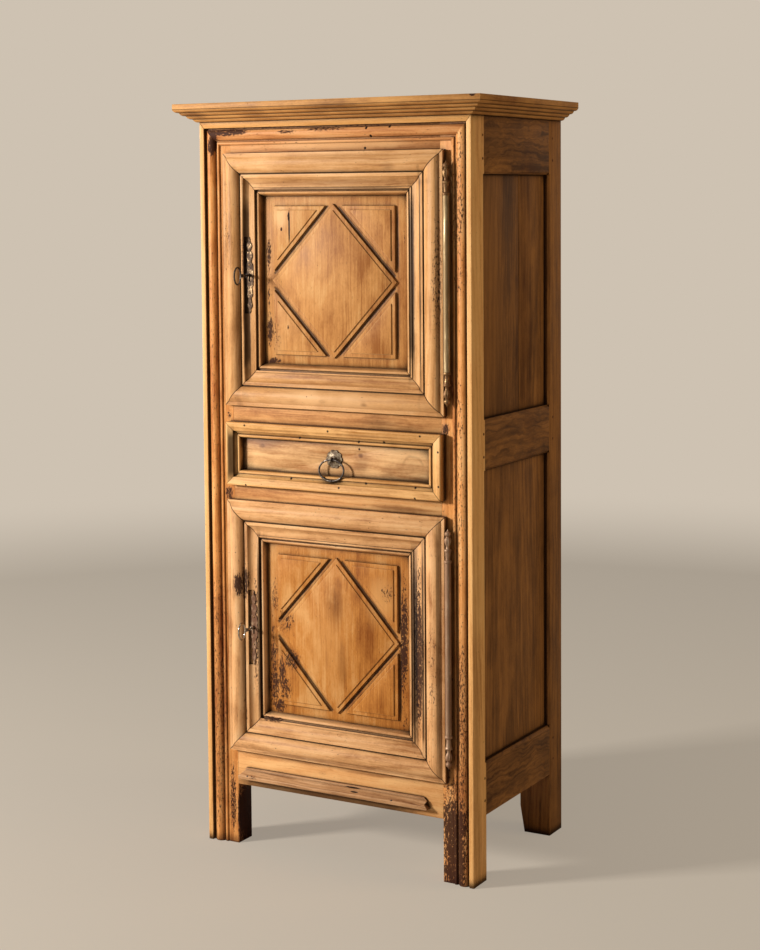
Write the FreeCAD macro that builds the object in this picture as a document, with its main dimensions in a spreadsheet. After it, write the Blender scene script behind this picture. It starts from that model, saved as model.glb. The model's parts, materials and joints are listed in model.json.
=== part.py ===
import FreeCAD, Part
import math
import os
import re
import Sketcher

# A bonnetiere: a tall, narrow cupboard in walnut and fruitwood with a moulded and lozenge-panelled
# door above and below one drawer.  Millimetres, +Z up.  The origin lies on the floor under the
# centre of the whole object's box, the front faces -Y and +X is the viewer's right.
#
# Every driving size is a named cell of the sheet "dims".  PLACES names positions worked out from
# those cells, and every size or position of a solid is bound to a formula on the two.

SIZES = [
    # alias, value, what it is
    ("case_width", 780, "width over the corner strips"),
    ("case_depth", 518, "depth from the corner strips' front to the back boards"),
    ("case_height", 1877, "floor to the underside of the cornice"),
    ("key_reach", 73, "how far the keys stand in front of the corner strips"),
    ("cornice_height", 46, "cornice moulding, bottom to top"),
    ("cornice_overhang", 50, "how far the cornice stands out from the case"),
    ("cornice_seat", 22, "width of the cornice that bears on the case"),
    ("cornice_fillet", 14, "height of the cornice's flat top fillet"),
    ("reed_fillet", 2, "flat between two cornice reeds"),
    ("strip_width", 13, "corner strip, seen from the front"),
    ("strip_depth", 70, "corner strip and front post, front to back"),
    ("frieze_height", 16, "frieze strip under the cornice"),
    ("front_setback", 10, "how far posts and rails lie behind the corner strips"),
    ("post_width", 88, "front post with its corner strip"),
    ("edge_groove", 4, "groove between strip and torus"),
    ("edge_torus", 28, "width of the torus on posts and top rail"),
    ("edge_torus_rise", 9, "height of that torus"),
    ("edge_quirk", 3, "groove between torus and bead"),
    ("edge_bead", 9, "width of the bead on posts and top rail"),
    ("edge_bead_rise", 4, "height of that bead"),
    ("back_post_width", 85, "back post, side to side"),
    ("back_post_depth", 75, "back post, front to back"),
    ("foot_taper", 12, "taper of the back posts' inner edge at the foot"),
    ("foot_taper_rise", 70, "height of that taper"),
    ("rail_thick", 28, "front rails and door frames"),
    ("side_rail_thick", 28, "side rails"),
    ("back_rail_thick", 22, "back rails"),
    ("plank_thick", 10, "back boards"),
    ("tenon_thick", 10, "tenons of rails"),
    ("tenon_length", 26, "how far tenons reach into posts"),
    ("tenon_shoulder", 9, "shoulder above and below a tenon"),
    ("joint_clearance", 0.2, "room around tenons and panels in their mortises and grooves"),
    ("side_panel_setback", 14, "side panels behind the side rails' faces"),
    ("side_panel_thick", 10, "side panels"),
    ("panel_groove", 8, "how far panels reach into their grooves"),
    ("rail_chamfer", 6, "chamfer of side rails round the panels"),
    ("front_rail_bottom", 158, "floor to the front bottom rail"),
    ("bottom_rail_height", 108, "front bottom rail"),
    ("lower_door_extra", 13, "how much taller the lower door's opening is than the upper's"),
    ("drawer_bottom_rail_height", 64, "front rail under the drawer"),
    ("drawer_opening_height", 142, "drawer's opening"),
    ("drawer_top_rail_height", 67, "front rail over the drawer"),
    ("top_rail_height", 95, "front top rail"),
    ("side_rail_bottom", 165, "floor to the side bottom rail"),
    ("side_bottom_height", 131, "side bottom rail"),
    ("side_middle_rise", 60, "side middle rail above the drawer's opening's lower edge"),
    ("side_middle_height", 124, "side middle rail"),
    ("side_top_height", 140, "side top rail"),
    ("back_middle_rise", 3, "back middle rail above the lower door's opening"),
    ("back_rail_height", 100, "back rails"),
    ("plank_gap", 1, "joint between two boards"),
    ("board_thick", 18, "floor, deck and shelves"),
    ("top_board_thick", 16, "top boards"),
    ("board_clearance", 0.5, "room round the posts in the notches of boards"),
    ("cleat_size", 18, "square cleats under the boards"),
    ("shelf_setback", 66, "shelf's front edge behind the corner strips"),
    ("shelf_rise", 324, "a shelf's top above the floor of its cupboard"),
    ("door_lip", 14, "how far a door's moulding laps over posts and rails"),
    ("drawer_lip", 10, "how far the drawer's moulding laps over posts and rails"),
    ("lip_clearance", 0.5, "room between a lip and the face behind it"),
    ("door_gap", 2, "room round a door frame in its opening"),
    ("moulding_width", 110, "door moulding, outer edge to sight edge"),
    ("moulding_seat", 100, "width of it that lies on the door frame"),
    ("fillet_width", 9, "outer fillet of the door moulding"),
    ("fillet_height", 15, "height of that fillet"),
    ("torus_width", 42, "big torus of the door moulding"),
    ("torus_rise", 11, "height of the torus over the fillet"),
    ("quirk_width", 3, "groove inside the torus"),
    ("quirk_depth", 3, "depth of that groove under the fillet"),
    ("bead_width", 8, "flat bead inside the quirk"),
    ("bead_height", 17, "height of that bead"),
    ("cove_width", 14, "cove that falls inwards"),
    ("cove_height", 8.5, "height at the foot of the cove"),
    ("shelf_width", 12, "flat inside the cove"),
    ("arris_width", 4, "raised edge of that flat"),
    ("arris_height", 10.5, "height of the raised edge"),
    ("step_width", 4, "step below the raised edge"),
    ("step_height", 3, "height of the step"),
    ("sight_width", 8, "bead at the sight edge"),
    ("sight_rise", 3, "height of that bead over the step"),
    ("panel_drop", 8.5, "door panel's ground behind the door frame's face"),
    ("panel_thick", 10, "door panel's ground"),
    ("door_tenon_length", 50, "tenons of the door rails"),
    ("relief_low", 6, "first step of the lozenge and triangles over the ground"),
    ("relief_field", 3, "their fields over the first step"),
    ("relief_band", 11, "width of the step round each field"),
    ("relief_end_margin", 23, "ground above and below the triangles"),
    ("relief_side_margin", 30, "ground at each side of the triangles"),
    ("lozenge_reach", 5, "how far the lozenge's points pass the triangles"),
    ("relief_gap", 12, "ground between lozenge and triangles"),
    ("drawer_gap", 3, "room at each side of the drawer"),
    ("drawer_rise", 1.5, "room above and below the drawer front"),
    ("drawer_front_thick", 22, "drawer front"),
    ("drawer_side_thick", 13, "drawer sides and back"),
    ("drawer_back_room", 14.5, "room between the drawer and the back rail"),
    ("drawer_side_height", 124, "drawer sides"),
    ("drawer_bottom_thick", 8, "drawer bottom"),
    ("drawer_bottom_rise", 10, "drawer bottom above the sides' lower edge"),
    ("drawer_groove", 6, "how far the drawer bottom reaches into its grooves"),
    ("slide_clearance", 0.3, "room between the drawer and its runners"),
    ("tail_width", 22, "dovetail of a drawer side at its root"),
    ("tail_length", 15, "how far dovetails reach into the drawer front"),
    ("runner_thick", 18, "runner under the drawer"),
    ("runner_bearing_width", 20, "how much of a runner lies under the drawer"),
    ("guide_height", 24, "guide beside the drawer"),
    ("guide_clearance", 0.5, "room between drawer side and guide"),
    ("drawer_moulding", 40, "drawer moulding, outer edge to sight edge"),
    ("drawer_moulding_height", 25, "height of that moulding"),
    ("drawer_edge_round", 5, "rounding of its outer edge"),
    ("drawer_face_width", 16, "its broad face"),
    ("drawer_face_fall", 3, "fall of that face"),
    ("drawer_cove_width", 9, "its cove"),
    ("drawer_cove_height", 12, "height at the foot of the cove"),
    ("drawer_bead_width", 8, "its inner bead"),
    ("drawer_bead_rise", 4, "rise of that bead"),
    ("ring_reach", 4.5, "drop ring's pivot in front of the corner strips"),
    ("ring_lean", 5.5, "how far the ring's foot leans out over the moulding"),
    ("ring_rise", 1, "ring's pivot above the middle of the drawer"),
    ("ring_width", 76, "drop ring over its wire"),
    ("ring_drop", 58, "height of the drop ring over its wire"),
    ("ring_wire", 2.3, "radius of the ring's wire"),
    ("eye_radius", 4.6, "eye of the staple, to the middle of its wire"),
    ("eye_wire", 1.7, "radius of the staple's wire"),
    ("staple_shank", 2.4, "radius of the staple's shank"),
    ("rosette_radius", 17, "rosette to the middle of its petals"),
    ("petal_radius", 6, "petals of the rosette"),
    ("rosette_thick", 3, "rosette plate"),
    ("rosette_boss", 9, "radius of the rosette's boss"),
    ("hinge_inset", 64, "hinge axis from the case's side"),
    ("hinge_reach", 6, "hinge axis in front of the corner strips"),
    ("barrel_radius", 8, "hinge barrel"),
    ("pin_radius", 4, "hinge pin"),
    ("pin_clearance", 0.05, "running room round the pin"),
    ("leaf_thick", 3, "hinge leaves"),
    ("leaf_length", 46, "hinge leaves from the axis"),
    ("leaf_clearance", 0.2, "room round a leaf in its slot"),
    ("knuckle_gap", 0.3, "room between knuckles"),
    ("upper_hinge_rise", 109, "upper hinge's barrel above its door's lower edge"),
    ("lower_hinge_rise", 121, "lower hinge's barrel above its door's lower edge"),
    ("hinge_drop", 110, "a hinge's barrel below its door's upper edge"),
    ("finial_ring", 9.7, "radius of the ring under a finial"),
    ("finial_height", 84, "height of a finial with its ring"),
    ("key_inset", 149, "key axis from the case's side"),
    ("upper_key_rise", 334, "upper key above its door's lower edge"),
    ("lower_key_rise", 328, "lower key above its door's lower edge"),
    ("key_shaft", 3.2, "radius of a key's shaft"),
    ("key_pilot", 2.5, "radius of the pilot at a key's end"),
    ("bow_length", 34, "a key's bow along the shaft"),
    ("bow_height", 47, "a key's bow across the shaft"),
    ("bow_wire", 2.2, "radius of the bow's wire"),
    ("bit_radius", 16, "reach of a key's bit from the axis"),
    ("bit_thick", 3, "a key's bit"),
    ("bit_length", 9, "a key's bit along the shaft"),
    ("keyhole_radius", 4.4, "keyhole"),
    ("keyhole_slot", 4.4, "width of the slot under the keyhole"),
    ("plate_thick", 2, "escutcheon"),
    ("plate_half_height", 97, "half the height of an escutcheon"),
    ("plate_half_width", 12.5, "half the width of an escutcheon"),
    ("seat_clearance", 0.3, "room round an escutcheon in its seat"),
    ("lock_width", 80, "lock case"),
    ("lock_thick", 20, "lock case, front to back"),
    ("lock_wall", 2, "walls of the lock case"),
    ("lock_below", 22, "lock case below the key"),
    ("lock_above", 40, "lock case above the key"),
    ("lock_setback", 1, "lock case from the door's edge"),
    ("bolt_rise", 20, "underside of the bolt above the key"),
    ("bolt_height", 14, "lock bolt"),
    ("bolt_thick", 7, "lock bolt, front to back"),
    ("bolt_length", 64, "lock bolt"),
    ("bolt_setback", 6, "bolt behind the door's back"),
    ("bolt_throw", 14, "travel of the bolt"),
    ("bolt_clearance", 0.2, "room round the bolt"),
    ("base_top", 206, "floor to the top of the base moulding"),
    ("base_height", 29, "base moulding"),
    ("base_reach", 20, "how far the base moulding stands out"),
    ("base_left_length", 270, "base moulding, from the middle to its left end"),
    ("base_right_length", 250, "base moulding, from the middle to its right end"),
]

# Positions worked out from the sizes.  A name may use names above it and the sizes.
PLACES = {
    "side": "(case_width / 2)",
    "front": "((key_reach - case_depth) / 2)",
    "back": "(front + case_depth)",
    "flat": "(front + front_setback)",
    "post_back": "(front + strip_depth)",
    "rail_back": "(flat + rail_thick)",
    "opening": "(side - post_width)",
    "back_post_front": "(back - back_post_depth)",
    "plank_front": "(back - plank_thick)",
    "back_rail_front": "(plank_front - back_rail_thick)",
    "tenon_front": "(flat + (rail_thick - tenon_thick) / 2)",
    "side_bottom_top": "(side_rail_bottom + side_bottom_height)",
    "side_top_bottom": "(case_height - side_top_height)",
    "moulded_edge": "(edge_groove + edge_torus + edge_quirk + edge_bead + edge_quirk)",
    "top_rail_bottom": "(case_height - top_rail_height)",
    "floor_top": "(front_rail_bottom + bottom_rail_height)",
    "drawer_band": "(drawer_bottom_rail_height + drawer_opening_height + drawer_top_rail_height)",
    "lower_opening_top": "(floor_top + (top_rail_bottom - floor_top - drawer_band + lower_door_extra) / 2)",
    "drawer_opening_bottom": "(lower_opening_top + drawer_bottom_rail_height)",
    "drawer_opening_top": "(drawer_opening_bottom + drawer_opening_height)",
    "deck_top": "(drawer_opening_top + drawer_top_rail_height)",
    "lower_door_bottom": "(floor_top - door_lip)",
    "lower_door_top": "(lower_opening_top + door_lip)",
    "upper_door_bottom": "(deck_top - door_lip)",
    "upper_door_top": "(top_rail_bottom + door_lip)",
    "drawer_bottom": "(drawer_opening_bottom - drawer_lip)",
    "drawer_top": "(drawer_opening_top + drawer_lip)",
    "upper_shelf_top": "(deck_top + shelf_rise)",
    "lower_shelf_top": "(floor_top + shelf_rise)",
    "side_middle_bottom": "(drawer_opening_bottom + side_middle_rise)",
    "side_middle_top": "(side_middle_bottom + side_middle_height)",
    "back_middle_bottom": "(lower_opening_top + back_middle_rise)",
    "door_face": "(flat - lip_clearance)",
    "door_back": "(door_face + rail_thick)",
    "door_side": "(opening + door_lip)",
    "frame_side": "(opening - door_gap)",
    "stile_inner": "(door_side - moulding_seat)",
    "panel_front": "(door_face + panel_drop)",
    "panel_back": "(panel_front + panel_thick)",
    "hinge_x": "(side - hinge_inset)",
    "hinge_y": "(front - hinge_reach)",
    "key_x": "(key_inset - side)",
    "upper_key_height": "(upper_door_bottom + upper_key_rise)",
    "lower_key_height": "(lower_door_bottom + lower_key_rise)",
    "lock_left": "(lock_setback - frame_side)",
    "plate_face": "(door_face - arris_height)",
    "drawer_middle": "((drawer_top + drawer_bottom) / 2)",
    "ring_y": "(front - ring_reach)",
    "ring_z": "(drawer_middle + ring_rise)",
    "ring_span": "(ring_drop - 2 * ring_wire)",
    "drawer_side": "(opening - drawer_gap)",
    "drawer_box_front": "(door_face + drawer_front_thick)",
    "drawer_box_bottom": "(drawer_opening_bottom + slide_clearance)",
}

doc = FreeCAD.newDocument("bonnetiere")
dims = doc.addObject("Spreadsheet::Sheet", "dims")
for row, (alias, size, note) in enumerate(SIZES, start=1):
    dims.set(f"A{row}", alias.replace("_", " "))
    dims.set(f"B{row}", str(size))
    dims.set(f"C{row}", note)
    dims.setAlias(f"B{row}", alias)
doc.recompute()
ALIASES = {alias for alias, _, _ in SIZES}
nodes = []


# ---------------------------------------------------------------- formulas


def formula(text):
    """Write a formula on sizes and places as one that reads the sheet's cells."""
    def swap(match):
        word = match.group()
        if word in PLACES:
            return formula(PLACES[word])
        return f"dims.{word}" if word in ALIASES else word
    return re.sub(r"[a-z_]{2,}", swap, str(text))


def number(text):
    """Today's value of a formula."""
    found = dims.evalExpression(formula(text))
    return float(getattr(found, "Value", found))


def bind(thing, **formulas):
    """Bind properties to formulas; x, y and z stand for the placement's base."""
    for name, text in formulas.items():
        target = f"Placement.Base.{name}" if name in "xyz" else name
        thing.setExpression(target, formula(text))
    return thing


# ---------------------------------------------------------------- plain solids


def block(name, x, y, z, grow=None):
    """A board stated by where it starts and ends along X, Y and Z, grown by a clearance."""
    board = doc.addObject("Part::Box", name)
    for (start, end), size, axis in zip((x, y, z), ("Length", "Width", "Height"), "xyz"):
        if grow:
            start, end = f"({start}) - {grow}", f"({end}) + {grow}"
        bind(board, **{size: f"({end}) - ({start})", axis: start})
    return board


AXIS_TURNS = {
    "x": FreeCAD.Rotation(FreeCAD.Vector(0, 1, 0), 90),
    "y": FreeCAD.Rotation(FreeCAD.Vector(1, 0, 0), -90),
    "z": FreeCAD.Rotation(),
}


def rod(name, along, radius, start, length):
    """A round rod from a start point, running along one axis."""
    bar = doc.addObject("Part::Cylinder", name)
    bar.Placement.Rotation = AXIS_TURNS[along]
    return bind(bar, Radius=radius, Height=length, x=start[0], y=start[1], z=start[2])


def cut(name, base, *tools):
    """The base with the tools' space taken out."""
    made = doc.addObject("Part::Cut", name)
    made.Base = base
    made.Tool = tools[0] if len(tools) == 1 else group(f"{name}_tools", *tools)
    return made


def fuse(name, *pieces):
    """One solid from pieces that touch or overlap."""
    made = doc.addObject("Part::MultiFuse", name)
    made.Shapes = list(pieces)
    made.Refine = True
    return made


def group(name, *pieces):
    """Separate solids side by side in one object."""
    made = doc.addObject("Part::Compound", name)
    made.Links = list(pieces)
    return made


def mirror(name, source, normal=(1, 0, 0), through=None):
    """The source seen across a plane; by default across the middle of the cabinet."""
    made = doc.addObject("Part::Mirroring", name)
    made.Source = source
    made.Normal = FreeCAD.Vector(*normal)
    if through:
        made.setExpression("Base.z", formula(through))
    return made


def node(name, *pieces):
    """Hand a sub-part over under its node name; several pieces stay separate solids."""
    made = pieces[0] if len(pieces) == 1 else group(f"{name}_set", *pieces)
    made.Label = name
    nodes.append(made)
    return made


# ---------------------------------------------------------------- sketched solids


def body(name, x="0", y="0", z="0", turn=None):
    """An empty body placed by formulas, with an optional turn."""
    made = doc.addObject("PartDesign::Body", name)
    if turn:
        made.Placement.Rotation = turn
    return bind(made, x=x, y=y, z=z)


def sketch(owner, role):
    """A sketch on one of the body's own origin planes."""
    plane = [item for item in owner.Origin.OriginFeatures if item.Role == role][0]
    made = owner.newObject("Sketcher::SketchObject", f"{owner.Name}_sketch")
    made.AttachmentSupport = (plane, [""])
    made.MapMode = "FlatFace"
    return made


def arc_through(start, end, radius):
    """A minor arc; a positive radius bulges to the left of the way from start to end."""
    if radius > 0:
        return arc_through(end, start, -radius)
    chord = end - start
    normal = FreeCAD.Vector(chord.y, -chord.x, 0).normalize()
    depth = -radius - math.sqrt(radius * radius - chord.Length * chord.Length / 4)
    return Part.Arc(start, (start + end) / 2 + normal * depth, end)


def outline(owner, role, *loops):
    """Closed loops of corners (u, v) or (u, v, radius), each pinned by formulas.

    The radius belongs to the side that leaves its corner, and makes it an arc.
    """
    drawn = sketch(owner, role)
    for corners in loops:
        points = [FreeCAD.Vector(number(c[0]), number(c[1]), 0) for c in corners]
        first = drawn.GeometryCount
        heads = []
        for index, corner in enumerate(corners):
            start, end = points[index], points[(index + 1) % len(points)]
            if len(corner) == 2:
                drawn.addGeometry(Part.LineSegment(start, end), False)
                heads.append(1)
                continue
            radius = number(corner[2])
            edge = drawn.addGeometry(arc_through(start, end, radius), False)
            heads.append(1 if radius < 0 else 2)
            rule = drawn.addConstraint(Sketcher.Constraint("Radius", edge, abs(radius)))
            drawn.setExpression(f"Constraints[{rule}]", formula(f"abs({corner[2]})"))
        for index, corner in enumerate(corners):
            edge, before = first + index, first + (index - 1) % len(corners)
            tail = 3 - heads[(index - 1) % len(corners)]
            drawn.addConstraint(Sketcher.Constraint("Coincident", before, tail, edge, heads[index]))
            for kind, text in (("DistanceX", corner[0]), ("DistanceY", corner[1])):
                rule = drawn.addConstraint(Sketcher.Constraint(kind, edge, heads[index], number(text)))
                drawn.setExpression(f"Constraints[{rule}]", formula(text))
    return drawn


def pad(owner, drawn, length, sides="One side", backwards=False, taper=None):
    """Raise a sketch into a solid."""
    made = owner.newObject("PartDesign::Pad", f"{owner.Name}_pad")
    made.Profile = drawn
    made.SideType = sides
    made.Reversed = backwards
    if taper:
        made.TaperAngle = taper
    return bind(made, Length=length)


def pocket(owner, drawn, length, sides="One side", backwards=False):
    """Sink a sketch into the solid, and check that it takes something away."""
    doc.recompute()
    before = owner.Shape.Volume
    made = owner.newObject("PartDesign::Pocket", f"{owner.Name}_pocket")
    made.Profile = drawn
    made.SideType = sides
    made.Reversed = backwards
    bind(made, Length=length)
    doc.recompute()
    if owner.Shape.Volume > before - 1:
        raise ValueError(f"{made.Name} cuts nothing")
    return made


def revolve(owner, drawn):
    """Turn a sketch round the body's Z axis."""
    axis = [item for item in owner.Origin.OriginFeatures if item.Role == "Z_Axis"][0]
    made = owner.newObject("PartDesign::Revolution", f"{owner.Name}_turned")
    made.Profile = drawn
    made.ReferenceAxis = (axis, [""])
    made.Angle = 360
    return made


def bowed(start, end, bulge):
    """A corner whose side to the end corner bows left, or right if below 0, by this share of its chord."""
    chord = "sqrt({0} * {0} + {1} * {1})".format(*[f"(({b}) - ({a}))" for a, b in zip(start, end)])
    return (*start[:2], f"{(bulge * bulge + 0.25) / (2 * bulge):.4f} * {chord}")


def rise_radius(width, rise):
    """Radius of an arc of this width that rises this high over its chord."""
    return f"(({width}) * ({width}) / 4 + ({rise}) * ({rise})) / (2 * ({rise}))"


# ---------------------------------------------------------------- case: posts and strips


def edge_rods():
    """The torus and the bead of posts and top rail, as (start, width, rise) across the edge."""
    bead_start = "edge_groove + edge_torus + edge_quirk"
    return (("edge_groove", "edge_torus", "edge_torus_rise"), (bead_start, "edge_bead", "edge_bead_rise"))


def front_post():
    """Left front post: square behind, with torus and bead down its face, mitred at the top."""
    post = body("front_post_blank", x="strip_width - side", y="flat")
    inner = "post_width - strip_width"
    corners = [("0", "post_back - flat"), ("0", "0")]
    for start, width, rise in edge_rods():
        corners += [(start, "0", f"-1 * {rise_radius(width, rise)}"), (f"{start} + {width}", "0")]
    corners += [(inner, "0"), (inner, "post_back - flat")]
    pad(post, outline(post, "XY_Plane", corners), "case_height")
    top = "case_height - frieze_height"
    above = [("0", top), ("moulded_edge", f"{top} - moulded_edge"), ("moulded_edge", "case_height"),
             ("0", "case_height")]
    pocket(post, outline(post, "XZ_Plane", above), "2 * edge_torus_rise", backwards=True)
    return post


def corner_strip():
    """Left corner strip, mitred at its top front corner for the frieze strip."""
    strip = body("corner_strip_left", x="-1 * side", y="front")
    face = [("0", "0"), ("strip_width", "0"), ("strip_width", "case_height"), ("0", "case_height")]
    pad(strip, outline(strip, "XZ_Plane", face), "strip_depth", backwards=True)
    mitre = [("0", "case_height"), ("strip_width", "case_height - frieze_height"), ("strip_width", "case_height")]
    pocket(strip, outline(strip, "XZ_Plane", mitre), "front_setback")
    return strip


def frieze_strip():
    """Strip under the cornice, mitred into the corner strips."""
    strip = body("frieze_strip_body", y="front", z="case_height")
    inner = "side - strip_width"
    face = [("-1 * side", "0"), (f"-1 * ({inner})", "-1 * frieze_height"), (inner, "-1 * frieze_height"),
            ("side", "0")]
    pad(strip, outline(strip, "XZ_Plane", face), "front_setback", backwards=True)
    return node("frieze_strip", strip)


def back_post():
    """Left back post, its inner edge tapered at the foot."""
    post = body("back_post_blank", x="-1 * side", y="back_post_front")
    face = [("0", "0"), ("back_post_width - foot_taper", "0"), ("back_post_width", "foot_taper_rise"),
            ("back_post_width", "case_height"), ("0", "case_height")]
    pad(post, outline(post, "XZ_Plane", face), "back_post_depth", backwards=True)
    return post


def panel_chamfer(name, height, y, step):
    """Cutter for the stopped chamfer beside a left side panel, on the post's outer corner."""
    wedge = body(name, x="-1 * side", y=y, z=height[0])
    corner = [("0", "0"), ("rail_chamfer", "0"), ("0", f"{step} * rail_chamfer")]
    pad(wedge, outline(wedge, "XY_Plane", corner), f"({height[1]}) - ({height[0]})")
    return wedge


# ---------------------------------------------------------------- case: rails


def side_rail(name, low, high, panel_below, panel_above):
    """Left side rail with tenons, grooved and chamfered where a panel meets it."""
    rail = body(name, x="-1 * side", y="post_back", z=low)
    rise = f"({high}) - ({low})"
    near = "side_panel_setback - joint_clearance"
    far = "side_panel_setback + side_panel_thick + joint_clearance"
    deep = "(panel_groove + joint_clearance)"
    corners = [("side_rail_thick", "0")]
    if panel_below:
        corners += [(far, "0"), (far, deep), (near, deep), (near, "0"), ("rail_chamfer", "0"), ("0", "rail_chamfer")]
    else:
        corners += [("0", "0")]
    if panel_above:
        corners += [("0", f"{rise} - rail_chamfer"), ("rail_chamfer", rise), (near, rise),
                    (near, f"{rise} - {deep}"), (far, f"{rise} - {deep}"), (far, rise)]
    else:
        corners += [("0", rise)]
    corners += [("side_rail_thick", rise)]
    pad(rail, outline(rail, "XZ_Plane", corners), "back_post_front - post_back", backwards=True)
    tenon = side_tenon(f"{name}_tenon", low, high)
    return fuse(f"{name}_tenoned", rail, tenon)


def side_tenon(name, low, high, grow=None):
    """A side rail's tenons as one bar, or their mortises when grown."""
    outer = "side_panel_setback - side"
    return block(name, (outer, f"{outer} + tenon_thick"),
                 ("post_back - tenon_length", "back_post_front + tenon_length"),
                 (f"{low} + tenon_shoulder", f"{high} - tenon_shoulder"), grow)


def front_tenon(name, low, high, grow=None):
    """A front rail's tenons as one bar, or their mortises when grown."""
    reach = "opening + tenon_length"
    return block(name, (f"-1 * ({reach})", reach), ("tenon_front", "tenon_front + tenon_thick"),
                 (f"{low} + tenon_shoulder", f"{high} - tenon_shoulder"), grow)


def back_tenon(name, low, high, grow=None):
    """A back rail's tenons as one bar, or their mortises when grown."""
    reach = "side - back_post_width + tenon_length"
    middle = "(back_rail_front + plank_front) / 2"
    return block(name, (f"-1 * ({reach})", reach), (f"{middle} - tenon_thick / 2", f"{middle} + tenon_thick / 2"),
                 (f"{low} + tenon_shoulder", f"{high} - tenon_shoulder"), grow)


def front_rail(name, low, high):
    """A plain front rail with its two tenons."""
    board = block(f"{name}_board", ("-1 * opening", "opening"), ("flat", "rail_back"), (low, high))
    return node(name, fuse(f"{name}_tenoned", board, front_tenon(f"{name}_tenon", low, high)))


def top_rail():
    """Top rail: the posts' torus and bead run across it and mitre into them."""
    rail = body("top_rail_blank", y="flat", z="case_height - frieze_height")
    low = "top_rail_bottom - (case_height - frieze_height)"
    board = [("0", "frieze_height"), ("0", low), ("rail_thick", low), ("rail_thick", "frieze_height")]
    pad(rail, outline(rail, "YZ_Plane", board), "2 * opening", "Symmetric")
    rods = [[("0", f"-1 * ({start})", f"-1 * {rise_radius(width, rise)}"), ("0", f"-1 * ({start} + {width})")]
            for start, width, rise in edge_rods()]
    pad(rail, outline(rail, "YZ_Plane", *rods), "2 * (side - strip_width)", "Symmetric")
    ends = []
    for way in ("", "-1 * "):
        tip, inner = f"{way}(side - strip_width)", f"{way}(side - strip_width - moulded_edge)"
        ends.append([(tip, "0"), (inner, "-1 * moulded_edge"), (tip, "-1 * moulded_edge")])
    pocket(rail, outline(rail, "XZ_Plane", *ends), "2 * edge_torus_rise", backwards=True)
    tenon = front_tenon("top_rail_tenon", "top_rail_bottom", "case_height")
    return node("front_top_rail", fuse("top_rail_tenoned", rail, tenon))


def base_moulding():
    """Moulding nailed low on the bottom rail: mitred at its left end, broken off at its right."""
    strip = body("base_moulding_body", x="-1 * (base_left_length + base_reach)", y="flat", z="base_top")
    profile = [("0", "0"), ("-0.22 * base_reach", "0"), ("-0.34 * base_reach", "-0.12 * base_height"),
               ("-0.26 * base_reach", "-0.2 * base_height"), ("-0.34 * base_reach", "-0.24 * base_height"),
               ("-1 * base_reach", "-0.66 * base_height"), ("-1 * base_reach", "-0.92 * base_height"),
               ("-0.85 * base_reach", "-1 * base_height"), ("0", "-1 * base_height")]
    run = "(base_left_length + base_right_length + 2 * base_reach)"
    pad(strip, outline(strip, "YZ_Plane", profile), run)
    mitre = [("0", "-1 * base_reach"), ("base_reach", "0"), ("0", "0")]
    pocket(strip, outline(strip, "XY_Plane", mitre), "3 * base_height", "Symmetric")
    broken = [(f"{run} - base_reach", "0"), (f"{run} - 0.5 * base_reach", "-0.3 * base_height"),
              (f"{run} - 0.7 * base_reach", "-0.52 * base_height"), (f"{run} - 0.2 * base_reach", "-0.8 * base_height"),
              (f"{run} - 0.3 * base_reach", "-1 * base_height"), (run, "-1 * base_height"), (run, "0")]
    pocket(strip, outline(strip, "XZ_Plane", broken), "3 * base_reach", "Symmetric")
    return node("base_moulding", strip)


# ---------------------------------------------------------------- case: boards and cornice


def notched_board(name, y, top, thick, notches):
    """A board between the side rails, notched round the four posts."""
    reach = "side - side_rail_thick - board_clearance"
    blank = block(f"{name}_blank", (f"-1 * ({reach})", reach), y, (f"{top} - {thick}", top))
    return cut(f"{name}_notched", blank, notches)


def cleat(name, inset, top):
    """A cleat on the left side, from the front post to the back post."""
    return block(name, (f"{inset} - side", f"{inset} - side + cleat_size"), ("post_back", "back_post_front"),
                 (f"{top} - cleat_size", top))


def cornice_outline(strip):
    """Section of the cornice: four stepped reeds under a flat fillet; -Y points outwards."""
    deep, rise = "cornice_overhang / 4", "(cornice_height - cornice_fillet) / 4"
    chord = f"sqrt(({deep} - reed_fillet) * ({deep} - reed_fillet) + {rise} * {rise})"
    corners = [("cornice_seat", "0")]
    for reed in range(4):
        corners += [(f"-{reed} * {deep}", f"{reed} * {rise}"),
                    (f"-{reed} * {deep} - reed_fillet", f"{reed} * {rise}", f"0.8 * {chord}")]
    corners += [("-1 * cornice_overhang", "cornice_height - cornice_fillet"),
                ("-1 * cornice_overhang", "cornice_height"), ("cornice_seat", "cornice_height")]
    return outline(strip, "YZ_Plane", corners)


def cornice():
    """The cornice's front and side mouldings, mitred at the front corners."""
    reach = "(cornice_overhang + cornice_seat)"
    face = body("cornice_front_body", y="front", z="case_height")
    pad(face, cornice_outline(face), "case_width + 2 * cornice_overhang", "Symmetric")
    ends = []
    for way in ("", "-1 * "):
        tip, inner = f"{way}(side + cornice_overhang)", f"{way}(side - cornice_seat)"
        ends.append([(tip, "-1 * cornice_overhang"), (inner, "cornice_seat"), (tip, "cornice_seat")])
    pocket(face, outline(face, "XY_Plane", *ends), "4 * cornice_height", "Symmetric")
    node("cornice_front", face)

    flank = body("cornice_side_body", x="side", y="front - cornice_overhang", z="case_height",
                 turn=FreeCAD.Rotation(FreeCAD.Vector(0, 0, 1), 90))
    pad(flank, cornice_outline(flank), "case_depth + cornice_overhang")
    mitre = [("0", "-1 * cornice_overhang"), (reach, "cornice_seat"), ("0", "cornice_seat")]
    pocket(flank, outline(flank, "XY_Plane", mitre), "4 * cornice_height", "Symmetric")
    node("cornice_sides", flank, mirror("cornice_side_left", flank))


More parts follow.
